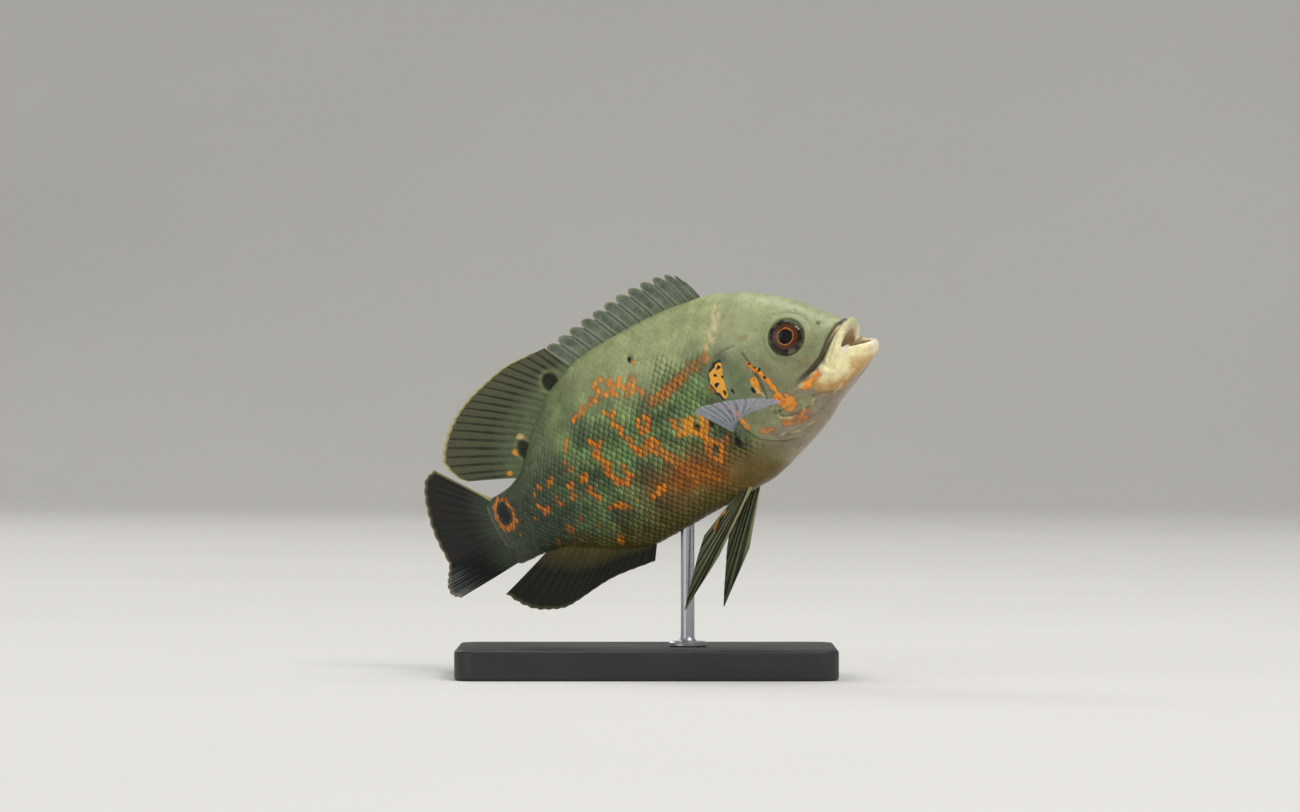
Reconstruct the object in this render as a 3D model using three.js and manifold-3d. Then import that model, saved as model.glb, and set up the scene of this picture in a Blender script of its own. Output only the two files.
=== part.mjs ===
// A still, life-size oscar, a deep-bodied cichlid, rising in a turn with its mouth open, on a plain stand.
// Millimetres, +Z up. The fish looks toward +X, its right flank faces -Y, and the origin is the middle of
// the stand's underside. The body is laid out straight first: s is the way back from the tip of the upper
// lip, left is toward the fish's left side and up is toward its back. fishPoint then bends it sideways.

import * as THREE from 'three';
import { mergeVertices } from 'three/addons/utils/BufferGeometryUtils.js';
import Module from 'manifold-3d';

const wasm = await Module();
wasm.setup();

const { clamp, degToRad, lerp, smoothstep } = THREE.MathUtils;

// Driving dimensions of the fish
const STANDARD_LENGTH = 120;
const SNOUT_START = -2.2;
const HEAD_END = 36;
const TORSO_END = 93;
const TAIL_END = 123;
const CLEARANCE = 0.3;

// Pose: the head's turn toward the viewer, the flank's, the tail's added turn, and the nose-up pitch
const HEAD_TURN = degToRad(25);
const NAPE_TURN = degToRad(-6);
const NAPE_BEND = [34, 52];
const TAIL_TURN = degToRad(33);
const TAIL_BEND = [66, STANDARD_LENGTH];
const PITCH = degToRad(28.5);
const MIDLINE_STEP = 0.25;

// Eyes
const EYE = { s: 16, up: 10, radius: 4.75, rise: 1.9, depth: 3.4, rim: 5.35, rimThickness: 0.62, around: 20 };

// Display stand
const BASE = { length: 100, width: 60, thickness: 8, corner: 6, bevel: 0.6 };
const ROD = {
  station: 69.5, radius: 1.8, flangeRadius: 5, flangeHeight: 1.4, flangeSlope: 0.6, socketDepth: 4,
  reachIn: 6, around: 20,
};
const FIN_CLEARANCE_BELOW = 9;

// Mesh density
const AROUND = 34;
const HEAD_STEP = 1.8;
const TORSO_STEP = 3;
const TAIL_STEP = 3.5;
const ROOM_STEP = 3.5;

// A smooth curve through [place, value] knots that never swings past them.
function curveThrough(knots) {
  const last = knots.length - 1;
  const rise = (i) => (knots[i + 1][1] - knots[i][1]) / (knots[i + 1][0] - knots[i][0]);
  const slopes = knots.map((_, i) => {
    if (i === 0) return rise(0);
    if (i === last) return rise(last - 1);
    const product = rise(i - 1) * rise(i);
    return product <= 0 ? 0 : (2 * product) / (rise(i - 1) + rise(i));
  });
  return (place) => {
    const x = clamp(place, knots[0][0], knots[last][0]);
    let i = 0;
    while (i < last - 1 && x > knots[i + 1][0]) i += 1;
    const width = knots[i + 1][0] - knots[i][0];
    const t = (x - knots[i][0]) / width;
    const keep = (1 + 2 * t) * (1 - t) ** 2;
    const leave = t * (1 - t) ** 2 * width * slopes[i];
    const arrive = t * t * (t - 1) * width * slopes[i + 1];
    return keep * knots[i][1] + (1 - keep) * knots[i + 1][1] + leave + arrive;
  };
}

// Body profiles along s
const backLine = curveThrough([
  [-2.2, -2.4], [-1.2, 0.6], [0.4, 4.8], [1.8, 6.4], [5.4, 9.4], [9.2, 13.9], [13.4, 18.1], [17.8, 21.6],
  [24.9, 26.1], [36.5, 30.2], [56, 32.1], [70, 31.8], [84, 28], [94, 21.4], [101, 15.4], [107, 11.2],
  [114, 9.9], [120, 9.6], [123, 9],
]);
const bellyLine = curveThrough([
  [-2.2, -3.4], [-0.2, -4.8], [2.7, -6.3], [6.6, -8.2], [11, -10.1], [15.2, -11.8], [20.3, -14.4],
  [31.9, -18.5], [43.5, -21.1], [60, -21.4], [77.7, -21.7], [88, -18.6], [97, -14], [104, -10.8],
  [112, -9.8], [120, -9.6], [123, -9],
]);
const halfWidth = curveThrough([
  [-2.2, 0.9], [-1.4, 2.6], [0.4, 4.3], [3, 5.9], [6.5, 7.1], [11, 8.2], [16, 9.4], [23, 10.8], [31, 11.8],
  [42, 12.3], [56, 12], [70, 10.6], [84, 8.2], [96, 5.6], [106, 3.9], [114, 3], [120, 2.2], [123, 1.1],
]);
const widestLine = curveThrough([
  [-2.2, -3], [3, -1.5], [8, 0], [16, 1.8], [30, 3.2], [60, 4.5], [84, 4.5], [100, 2.5], [112, 0.3], [123, 0],
]);
const ridgePower = curveThrough([[0, 1], [16, 1.05], [40, 1.25], [90, 1.35], [112, 1.1]]);
const BELLY_POWER = 0.92;

// The fish's heading at s, measured from +X toward the viewer.
function turnAt(s) {
  const nape = smoothstep(s, NAPE_BEND[0], NAPE_BEND[1]);
  const tail = clamp((s - TAIL_BEND[0]) / (TAIL_BEND[1] - TAIL_BEND[0]), 0, 1);
  return HEAD_TURN + NAPE_TURN * nape + TAIL_TURN * tail ** 2;
}

// The midline's points every MIDLINE_STEP, as [behind the snout, away from the viewer].
const midline = [[0, 0]];
for (let s = 0; s < STANDARD_LENGTH; s += MIDLINE_STEP) {
  const [behind, away] = midline.at(-1);
  const turn = turnAt(s + MIDLINE_STEP / 2);
  midline.push([behind + Math.cos(turn) * MIDLINE_STEP, away + Math.sin(turn) * MIDLINE_STEP]);
}

// The midline's point at s, which runs straight on at both ends.
function midlineAt(s) {
  const place = clamp(s, 0, STANDARD_LENGTH);
  const i = Math.min(Math.floor(place / MIDLINE_STEP), midline.length - 2);
  const t = place / MIDLINE_STEP - i;
  const beyond = s - place;
  const turn = turnAt(s);
  const behind = lerp(midline[i][0], midline[i + 1][0], t) + beyond * Math.cos(turn);
  const away = lerp(midline[i][1], midline[i + 1][1], t) + beyond * Math.sin(turn);
  return [behind, away];
}

// A point of the bent fish, before the pitch.
function fishPoint(s, left, up) {
  const [behind, away] = midlineAt(s);
  const turn = turnAt(s);
  return new THREE.Vector3(-behind + left * Math.sin(turn), away + left * Math.cos(turn), up);
}

// A point that lies straight back from station s, as a fin ray does, whatever the body does behind it.
function straightPoint(s, back, left, up) {
  const turn = turnAt(s);
  return fishPoint(s, left, up).add(new THREE.Vector3(-back * Math.cos(turn), back * Math.sin(turn), 0));
}

// A point of the body's surface, or of a surface that lies grow outside it. Angle 0 is the left side and a
// quarter turn is the back.
function bodyPoint(s, angle, grow = 0) {
  const across = Math.cos(angle);
  const rise = Math.sin(angle);
  const power = rise > 0 ? ridgePower(s) : BELLY_POWER;
  const left = (halfWidth(s) + grow) * Math.sign(across) * Math.abs(across) ** power;
  const reach = rise > 0 ? backLine(s) - widestLine(s) : widestLine(s) - bellyLine(s);
  return fishPoint(s, left, widestLine(s) + (reach + grow) * rise);
}

// The point of the body's flank at a height, on the left for side 1 and on the right for side -1.
function flankPoint(s, up, side, grow = 0) {
  const over = up - widestLine(s);
  const reach = over > 0 ? backLine(s) - widestLine(s) : widestLine(s) - bellyLine(s);
  const angle = Math.asin(clamp(over / reach, -1, 1));
  return bodyPoint(s, side > 0 ? angle : Math.PI - angle, grow);
}

// The outward direction of the flank at a point.
function flankNormal(s, up, side) {
  const step = 0.5;
  const along = flankPoint(s + step, up, side).sub(flankPoint(s - step, up, side));
  const rise = flankPoint(s, up + step, side).sub(flankPoint(s, up - step, side));
  return along.cross(rise).multiplyScalar(side).normalize();
}

function geometryFrom(points, faces) {
  const geometry = new THREE.BufferGeometry().setFromPoints(points);
  geometry.setIndex(faces.flat());
  return geometry;
}

// A closed body through rings of equally many points, with flat ends.
function closedLoft(rings) {
  const count = rings[0].length;
  const last = rings.length - 1;
  const points = rings.flat();
  const faces = [];
  for (let i = 0; i < last; i += 1) {
    for (let j = 0; j < count; j += 1) {
      const [a, d] = [i * count + j, i * count + ((j + 1) % count)];
      const [b, c] = [a + count, d + count];
      faces.push([a, b, c], [a, c, d]);
    }
  }
  for (const [ring, turned] of [[0, false], [last, true]]) {
    const centre = rings[ring].reduce((sum, p) => sum.add(p), new THREE.Vector3()).divideScalar(count);
    points.push(centre);
    for (let j = 0; j < count; j += 1) {
      const [a, b] = [ring * count + j, ring * count + ((j + 1) % count)];
      faces.push(turned ? [points.length - 1, b, a] : [points.length - 1, a, b]);
    }
  }
  return geometryFrom(points, faces);
}

// A closed sheet over a grid of columns and rows: faceAt gives a point of its front or back face, and both
// faces are split into triangles alike.
function closedSheet(columns, rows, faceAt) {
  const points = [];
  for (const front of [true, false]) {
    for (let i = 0; i <= columns; i += 1) {
      for (let j = 0; j <= rows; j += 1) points.push(faceAt(i / columns, j / rows, front));
    }
  }
  const half = (columns + 1) * (rows + 1);
  const index = (i, j) => i * (rows + 1) + j;
  const faces = [];
  for (let i = 0; i < columns; i += 1) {
    for (let j = 0; j < rows; j += 1) {
      const [a, b, c, d] = [index(i, j), index(i + 1, j), index(i + 1, j + 1), index(i, j + 1)];
      faces.push([a, b, c], [a, c, d], [half + a, half + c, half + b], [half + a, half + d, half + c]);
    }
  }
  const edge = [];
  for (let i = 0; i < columns; i += 1) edge.push(index(i, 0));
  for (let j = 0; j < rows; j += 1) edge.push(index(columns, j));
  for (let i = columns; i > 0; i -= 1) edge.push(index(i, rows));
  for (let j = rows; j > 0; j -= 1) edge.push(index(0, j));
  edge.forEach((a, k) => {
    const b = edge[(k + 1) % edge.length];
    faces.push([b, a, half + a], [b, half + a, half + b]);
  });
  return geometryFrom(points, faces);
}

// A solid for joining and cutting, from any closed geometry.
function solidOf(geometry) {
  const bare = new THREE.BufferGeometry();
  bare.setAttribute('position', geometry.getAttribute('position'));
  bare.setIndex(geometry.getIndex());
  const merged = mergeVertices(bare, 1e-4);
  const index = merged.getIndex().array;
  const kept = [];
  for (let i = 0; i < index.length; i += 3) {
    const [a, b, c] = [index[i], index[i + 1], index[i + 2]];
    if (a !== b && b !== c && c !== a) kept.push(a, b, c);
  }
  const vertProperties = new Float32Array(merged.getAttribute('position').array);
  const triVerts = new Uint32Array(kept);
  const solid = new wasm.Manifold(new wasm.Mesh({ numProp: 3, vertProperties, triVerts }));
  if (solid.volume() <= 0) throw new Error('a solid is inside out');
  return solid;
}

// The geometry of a solid's largest closed surface.
function geometryOf(solid) {
  const pieces = solid.decompose();
  const largest = pieces.reduce((best, piece) => (piece.volume() > best.volume() ? piece : best));
  const { vertProperties, triVerts } = largest.getMesh();
  const geometry = new THREE.BufferGeometry();
  geometry.setAttribute('position', new THREE.BufferAttribute(new Float32Array(vertProperties), 3));
  geometry.setIndex(new THREE.BufferAttribute(new Uint32Array(triVerts), 1));
  return geometry;
}

// One length of the body, or of a body that lies grow outside it.
function bodyLength(from, to, step, grow = 0) {
  const [first, last] = [from - grow, to + grow];
  const count = Math.ceil((last - first) / step);
  const rings = [];
  for (let i = 0; i <= count; i += 1) {
    const s = lerp(first, last, i / count);
    rings.push(Array.from({ length: AROUND }, (_, j) => bodyPoint(s, (2 * Math.PI * j) / AROUND, grow)));
  }
  return solidOf(closedLoft(rings));
}

// A cutter through the whole head: a side outline of [s, up] corners, stretched from cheek to cheek.
const CUTTER_HALF_WIDTH = 20;
function sideCutter(corners) {
  const outline = new THREE.Shape(corners.map(([s, up]) => new THREE.Vector2(-s, up)));
  const geometry = new THREE.ExtrudeGeometry(outline, { depth: 2 * CUTTER_HALF_WIDTH, bevelEnabled: false });
  const position = geometry.getAttribute('position');
  const turn = new THREE.Matrix4().makeRotationX(Math.PI / 2);
  geometry.applyMatrix4(turn.premultiply(new THREE.Matrix4().makeTranslation(0, CUTTER_HALF_WIDTH, 0)));
  for (let i = 0; i < position.count; i += 1) {
    const p = fishPoint(-position.getX(i), position.getY(i), position.getZ(i));
    position.setXYZ(i, p.x, p.y, p.z);
  }
  return solidOf(geometry);
}

// A rod of soft tissue along a curve: its section is an ellipse, deep along planeNormal and thick across it.
function softRod(points, steps, sides, planeNormal, sizeAt) {
  const curve = new THREE.CatmullRomCurve3(points);
  const rings = [];
  for (let i = 0; i <= steps; i += 1) {
    const centre = curve.getPoint(i / steps);
    const tangent = curve.getTangent(i / steps);
    const across = planeNormal.clone().cross(tangent).normalize();
    const deep = across.clone().cross(tangent).normalize();
    const [thick, depth] = sizeAt(i / steps);
    rings.push(Array.from({ length: sides }, (_, j) => {
      const angle = (2 * Math.PI * j) / sides;
      const p = centre.clone().addScaledVector(across, thick * Math.cos(angle));
      return p.addScaledVector(deep, depth * Math.sin(angle));
    }));
  }
  return solidOf(closedLoft(rings));
}

// Mirrors a path of [s, left, up] points, given from the midline to the left, so that it runs from right to
// left.
function bothSides(path) {
  const left = path.map(([s, y, up]) => fishPoint(s, y, up));
  const right = path.slice(1).map(([s, y, up]) => fishPoint(s, -y, up));
  return [...right.reverse(), ...left];
}

// Mouth: the gape's side outline, the throat behind it and the two lips
const GAPE = [
  [-8, 14], [0.4, 14], [1, 4.9], [3.1, 3.2], [5.6, 0.6], [7.6, -0.9], [9.4, -1.7], [7, -1.5], [4.6, -0.5],
  [2.6, -0.7], [0.6, -1.5], [-1, -2.1], [-8, -2],
];
// Ellipses of the throat, each as [s, up, half height, half breadth]
const THROAT = [
  [-1, 0.4, 3.6, 4.2], [2.5, 0.5, 3.4, 4.9], [6, 0, 2.9, 5.4], [10, -0.8, 2, 4.6], [14, -1.4, 1.2, 3],
  [16.5, -1.7, 0.5, 1.2],
];
const THROAT_SIDES = 16;
// The lips' middle curves, from the midline to the left corner of the mouth, as [s, left, up]
const UPPER_LIP = [
  [2, 0, 5.4], [2.5, 2.7, 5.1], [3.6, 5.3, 3.8], [5.2, 6.7, 2], [6.9, 7.2, 0.3], [8.3, 7.5, -0.8],
];
const LOWER_LIP = [
  [-1.4, 0, -2.3], [-0.8, 2.1, -2.1], [0.7, 3.8, -1.6], [2.6, 5, -0.9], [4.6, 5.9, -0.6], [6.5, 6.7, -1.6],
  [7.8, 7.2, -3.1], [9.3, 7.6, -3.9], [10.7, 7.9, -2.9], [11.2, 7.9, -1.6],
];
// Half thickness and half depth of the lips, at the corner and added toward the middle
const UPPER_LIP_SIZE = { corner: [0.45, 0.55], added: [0.55, 0.7], steps: 24 };
const LOWER_LIP_SIZE = { corner: [0.4, 0.45], added: [0.5, 0.4], steps: 28 };
const LIP_SIDES = 8;
const LIP_END = 0.06;
// Where the jaw is parted from the head, with a clearance between the two outlines
const JAW_BACK = [[9.3, -1.5], [20.6, -2.9], [12.8, -16], [-8, -16], [-8, 0]];
const HEAD_WITHOUT_JAW = [[8.6, -1.4], [9.3, -1.15], [21.1, -2.65], [13.2, -16], [-8, -16], [-8, 0]];

function throatSolid() {
  const angles = Array.from({ length: THROAT_SIDES }, (_, j) => (2 * Math.PI * j) / THROAT_SIDES);
  const rings = THROAT.map(([s, up, halfHeight, halfBreadth]) => angles.map((angle) => {
    return fishPoint(s, halfBreadth * Math.cos(angle), up + halfHeight * Math.sin(angle));
  }));
  return solidOf(closedLoft(rings));
}

// A lip, or with a grow over 0 the room that it takes.
function lip(path, { corner, added, steps }, planeNormal, grow) {
  const sizeAt = (t) => {
    const fullness = Math.sqrt(Math.sin(Math.PI * clamp(t, LIP_END, 1 - LIP_END)));
    return [corner[0] + added[0] * fullness + grow, corner[1] + added[1] * fullness + grow];
  };
  return softRod(bothSides(path), steps, LIP_SIDES, planeNormal, sizeAt);
}

const UPPER_LIP_PLANE = new THREE.Vector3(Math.cos(HEAD_TURN), -Math.sin(HEAD_TURN), 0.75).normalize();
const LOWER_LIP_PLANE = new THREE.Vector3(0, 0, 1);
const upperLip = (grow) => lip(UPPER_LIP, UPPER_LIP_SIZE, UPPER_LIP_PLANE, grow);
const lowerLip = (grow) => lip(LOWER_LIP, LOWER_LIP_SIZE, LOWER_LIP_PLANE, grow);

// Gill covers: a plate between the cheek's rear edge and the free rear edge, from the top round to the throat
const COVER_INNER = [
  [28.2, 11.5], [27.8, 8.7], [27.3, 4.5], [27.7, -0.1], [28.3, -3.1], [28.2, -5.8], [26.6, -8], [23.4, -8.9],
  [20.1, -8.7], [17.8, -8],
];
const COVER_OUTER = [
  [29.6, 14.5], [33.1, 14.6], [36.6, 13.3], [39.4, 10.8], [40.2, 7.3], [39.4, 3.6], [38.3, -0.8],
  [37.6, -5.5], [35.8, -9.4], [32, -12.6], [27.2, -14.6], [22.3, -13.6], [17, -10.9],
];
const COVER = {
  columns: 18, rows: 4, depth: 1, thinEdgeDepth: 0.1, thinFrom: 0.7, edgeRise: 0.85, cheekRise: 0.15,
  bulge: 0.35, pocketRise: 4,
};

function outlineCurve(corners) {
  return new THREE.CatmullRomCurve3(corners.map(([s, up]) => new THREE.Vector3(s, up, 0)));
}

const coverInner = outlineCurve(COVER_INNER);
const coverOuter = outlineCurve(COVER_OUTER);

// The plate, or with a grow over 0 the pocket that it lies in.
function gillCover(side, grow) {
  const faceAt = (u, v, front) => {
    const inner = coverInner.getPoint(u);
    const across = coverOuter.getPoint(u).sub(inner);
    const along = coverOuter.getTangent(u);
    const place = inner.addScaledVector(across, v);
    place.addScaledVector(across.normalize(), grow * (2 * v - 1)).addScaledVector(along, grow * (2 * u - 1));
    const edge = smoothstep(v, COVER.thinFrom, 1);
    const top = lerp(COVER.cheekRise, COVER.edgeRise, v * v) + COVER.bulge * Math.sin(Math.PI * v);
    const bottom = -lerp(COVER.depth, grow > 0 ? COVER.depth : COVER.thinEdgeDepth, edge);
    const outer = grow > 0 ? COVER.pocketRise : top;
    const offset = (side > 0) === front ? outer : bottom - grow;
    return flankPoint(place.x, place.y, side, offset);
  };
  return solidOf(closedSheet(COVER.columns, COVER.rows, faceAt));
}

// Puts a lathe or ring, made about +Y, on the flank with its axis along the surface's normal.
function setOnFlank(geometry, s, up, side, sink = 0) {
  const normal = flankNormal(s, up, side);
  const turn = new THREE.Quaternion().setFromUnitVectors(new THREE.Vector3(0, 1, 0), normal);
  const place = flankPoint(s, up, side).addScaledVector(normal, -sink);
  return geometry.applyQuaternion(turn).translate(place.x, place.y, place.z);
}

// The eyeball's outline as shares of its radius and of its depth or rise, to the socket's mouth and then over
// the dome
const EYE_BACK = [[0, -1], [0.6, -0.85], [0.92, -0.4], [1, 0]];
const EYE_FRONT = [[0.95, 0.35], [0.76, 0.7], [0.45, 0.93], [0, 1]];

// The eyeball, or with a grow over 0 the socket that it lies in.
function eyeball(side, grow) {
  const { radius, rise, depth } = EYE;
  const mouthOfSocket = [[1, 2], [0, 2]];
  const points = [...EYE_BACK, ...(grow > 0 ? mouthOfSocket : EYE_FRONT)].map(([out, high]) => {
    const height = high < 0 ? high * (depth + grow) : high * rise;
    return new THREE.Vector2(out * (radius + grow), height);
  });
  return solidOf(setOnFlank(new THREE.LatheGeometry(points, EYE.around), EYE.s, EYE.up, side));
}

function ring(radius, thickness, around, section) {
  return new THREE.TorusGeometry(radius, thickness, section, around).rotateX(Math.PI / 2);
}

const NOSTRIL = { s: 7.8, up: 9.4, radius: 0.5, rim: 0.8, rimThickness: 0.32, depth: 1.4 };

// The groove that the upper jaw slides in, from behind the upper lip to the corner of the jaws
const JAW_GROOVE = {
  path: [[2.2, 6.7], [5, 5.4], [7.8, 3.3], [10.6, 0.9], [14, -0.6], [17.6, -1.5], [20.6, -2.4]],
  frontRadius: 0.65, rearRadius: 0.38, steps: 8, sides: 5, facing: [8, 2],
};

function jawGroove(side) {
  const { path, frontRadius, rearRadius, steps, sides: around, facing } = JAW_GROOVE;
  const points = path.map(([s, up]) => flankPoint(s, up, side));
  const sizeAt = (t) => [lerp(frontRadius, rearRadius, t), lerp(frontRadius, rearRadius, t)];
  return softRod(points, steps, around, flankNormal(...facing, side), sizeAt);
}

// Fins

// A fin blade: middleAt gives its middle surface over u along the base and v out to the tips, and reachAt
// cuts notches into its free edge. The blade is thick at the root and thin at the edge, with a ridge on both
// faces at every ray.
const BLADE = {
  thickness: 0.56, edgeShare: 0.45, rootEnds: 0.35, edgeStarts: 0.8, ridge: 0.22, ridgeWidth: 1 / 3,
};
const wholeEdge = () => 1;
function finBlade({ columns, rows, middleAt, ridgeAt, reachAt = wholeEdge, root = 1 }) {
  const step = 1e-3;
  const faceAt = (u, share, front) => {
    const v = share * reachAt(u);
    const along = middleAt(Math.min(u + step, 1), v).sub(middleAt(Math.max(u - step, 0), v));
    const out = middleAt(u, Math.min(v + step, 1)).sub(middleAt(u, Math.max(v - step, 0)));
    const normal = along.cross(out).normalize();
    const nearRoot = lerp(root, 1, smoothstep(share, 0, BLADE.rootEnds));
    const nearEdge = lerp(1, BLADE.edgeShare, smoothstep(share, BLADE.edgeStarts, 1));
    const half = (BLADE.thickness / 2) * nearRoot * nearEdge + BLADE.ridge * ridgeAt(u, share);
    return middleAt(u, v).addScaledVector(normal, front ? half : -half);
  };
  return solidOf(closedSheet(columns, rows, faceAt));
}

// 1 on a ray and 0 in the middle of the membrane between two rays, fading out to the fin's edge.
const RIDGE_AT_TIP = 0.35;
const rayPattern = (rays) => (u, v) => {
  const place = u * (rays - 1);
  const fromRay = Math.abs(place - Math.round(place));
  return Math.max(0, 1 - fromRay / BLADE.ridgeWidth) * lerp(1, RIDGE_AT_TIP, v);
};

// The membrane's free edge between two ray tips lies a little inside them.
const SOFT_NOTCH = 0.025;
const softEdge = (rays) => (u) => {
  const place = u * (rays - 1);
  return 1 - 2 * SOFT_NOTCH * Math.abs(place - Math.round(place));
};

// Spiny dorsal fin: spine tips, the spines' lean and the rounded membrane lobe behind each tip
const SPINES = 14;
const spineTip = curveThrough([[0, 37], [1, 38], [2, 40], [3, 42.8], [5, 50.1], [13, 81.3]]);
const spineHeight = curveThrough([
  [0, 34.6], [1, 36.4], [2, 38.9], [4, 40.5], [6, 40.9], [9, 39.8], [13, 37.9],
]);
const spineLean = curveThrough([[0, 1.6], [2, 3], [5, 4.4], [13, 4.8]]);
const LOBE_NOTCH = 0.17;
const LOBE_ROUNDS_FROM = 0.3;
const COLUMNS_PER_SPINE = 3;
const FIN_SINK = 2.4;
// How many times thicker each fin is at its root than further out
const ROOT_THICKNESS = { spiny: 1.8, soft: 2, anal: 2, tail: 2.6, pectoral: 2.2, pelvic: 2 };

function spinyDorsal() {
  const middleAt = (u, v) => {
    const spine = u * (SPINES - 1);
    const base = spineTip(spine) - spineLean(spine);
    const rootUp = backLine(base) - FIN_SINK;
    return straightPoint(base, spineLean(spine) * v ** 1.2, 0, lerp(rootUp, spineHeight(spine), v));
  };
  const reachAt = (u) => {
    const spine = u * (SPINES - 1);
    const behind = spine - Math.floor(spine + 1e-6);
    return 1 - LOBE_NOTCH * smoothstep(behind, LOBE_ROUNDS_FROM, 2 / COLUMNS_PER_SPINE);
  };
  const columns = (SPINES - 1) * COLUMNS_PER_SPINE;
  const root = ROOT_THICKNESS.spiny;
  return finBlade({ columns, rows: 4, middleAt, reachAt, ridgeAt: rayPattern(SPINES), root });
}

// A fin whose rays all end in a soft edge, with two columns of faces to each gap between rays.
function softFin(rays, rows, middleAt, root) {
  const columns = (rays - 1) * 2;
  return finBlade({ columns, rows, middleAt, reachAt: softEdge(rays), ridgeAt: rayPattern(rays), root });
}

// Soft dorsal fin: how far back and how high each ray's tip lies, from the first ray to the last
const SOFT_RAYS = 20;
const SOFT_BASE = [77.7, 104.5];
const softTipBack = curveThrough([
  [0, 4.4], [0.16, 9.8], [0.32, 14.9], [0.47, 19.2], [0.63, 22.3], [0.84, 25.2], [0.9, 23.4], [0.95, 21],
  [1, 17.9],
]);
const softTipUp = curveThrough([
  [0, 38], [0.16, 38.9], [0.35, 37.2], [0.6, 32.8], [0.84, 24.6], [0.9, 21.2], [0.95, 18.6], [1, 16.8],
]);
// A ray's height over its length: rays leave the body a little steeper than they end.
const RAY_CURVE = 0.92;

function softDorsal() {
  const middleAt = (u, v) => {
    const base = lerp(SOFT_BASE[0], SOFT_BASE[1], u);
    const rootUp = backLine(base) - FIN_SINK;
    return straightPoint(base, softTipBack(u) * v, 0, lerp(rootUp, softTipUp(u), v ** RAY_CURVE));
  };
  return softFin(SOFT_RAYS, 5, middleAt, ROOT_THICKNESS.soft);
}

// Anal fin: it leans toward the viewer, more toward its rear
const ANAL_RAYS = 18;
const ANAL_BASE = [77.9, 105];
const analTipBack = curveThrough([[0, 4], [0.25, 10.4], [0.5, 15.3], [0.75, 18.6], [1, 22.2]]);
const analTipUp = curveThrough([
  [0, -25.4], [0.25, -24.1], [0.55, -25.2], [0.75, -22.8], [0.9, -18.6], [1, -14.7],
]);
const analTipSide = curveThrough([[0, -0.4], [0.3, -1.1], [0.55, -3.7], [0.8, -4.5], [1, -2.5]]);
const ANAL_LEAN_CURVE = 1.6;

function analFin() {
  const middleAt = (u, v) => {
    const base = lerp(ANAL_BASE[0], ANAL_BASE[1], u);
    const rootUp = bellyLine(base) + FIN_SINK;
    const up = lerp(rootUp, analTipUp(u), v ** RAY_CURVE);
    return straightPoint(base, analTipBack(u) * v, analTipSide(u) * v ** ANAL_LEAN_CURVE, up);
  };
  return softFin(ANAL_RAYS, 5, middleAt, ROOT_THICKNESS.anal);
}

// Tail fin: the upper half is spread, and the lower half is half closed and folded toward the viewer
const TAIL_RAYS = 17;
const TAIL_ROOT = { s: 119, halfHeight: 8.6 };
const tailTipBack = curveThrough([
  [0, 16.5], [0.1, 21.5], [0.2, 25.5], [0.3, 28.3], [0.4, 30.2], [0.5, 31], [0.6, 31], [0.7, 29.8],
  [0.8, 27.5], [0.9, 23.5], [1, 18.5],
]);
const tailTipUp = curveThrough([
  [0, 23.8], [0.1, 22.9], [0.2, 19.5], [0.3, 14.8], [0.4, 10], [0.5, 4.5], [0.6, -0.6], [0.7, -3.2],
  [0.8, -5.6], [0.9, -8.2], [1, -9.8],
]);
const tailTipSide = curveThrough([[0, 0], [0.58, 0], [0.7, -3], [0.8, -6.5], [0.9, -9.5], [1, -11]]);
const TAIL_FOLD_CURVE = 1.5;

function tailFin() {
  const middleAt = (u, v) => {
    const rootUp = lerp(TAIL_ROOT.halfHeight, -TAIL_ROOT.halfHeight, u);
    const back = lerp(TAIL_ROOT.s - STANDARD_LENGTH, tailTipBack(u), v);
    const up = lerp(rootUp, tailTipUp(u), v);
    return straightPoint(STANDARD_LENGTH, back, tailTipSide(u) * v ** TAIL_FOLD_CURVE, up);
  };
  return softFin(TAIL_RAYS, 6, middleAt, ROOT_THICKNESS.tail);
}

// Pectoral fins: fans that reach out and forward, nearly level
const PECTORAL_RAYS = 12;
const PECTORAL = {
  rootS: [39.6, 41.2], rootUp: [-2, -6.5], sink: 2, forward: [degToRad(70), degToRad(-2)],
  lift: [degToRad(-6), degToRad(36)], curl: degToRad(5),
};
const pectoralLength = curveThrough([[0, 17], [0.15, 20.5], [0.45, 23.5], [0.75, 21], [1, 16]]);

function pectoralFin(side) {
  const { rootS, rootUp, sink } = PECTORAL;
  const turn = turnAt(rootS[0]);
  const ahead = new THREE.Vector3(Math.cos(turn), -Math.sin(turn), 0);
  const outward = new THREE.Vector3(Math.sin(turn), Math.cos(turn), 0).multiplyScalar(side);
  const middleAt = (u, v) => {
    const point = flankPoint(lerp(...rootS, u), lerp(...rootUp, u), side);
    point.addScaledVector(outward, -sink);
    const reach = v * (pectoralLength(u) + sink);
    const forward = lerp(...PECTORAL.forward, u) - PECTORAL.curl * v * v;
    const lift = lerp(...PECTORAL.lift, u);
    point.addScaledVector(ahead, reach * Math.sin(forward) * Math.cos(lift));
    point.addScaledVector(outward, reach * Math.cos(forward) * Math.cos(lift));
    point.z += reach * Math.sin(lift);
    return point;
  };
  const mirrored = (u, v) => middleAt(side > 0 ? 1 - u : u, v);
  return softFin(PECTORAL_RAYS, 4, mirrored, ROOT_THICKNESS.pectoral);
}

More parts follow.
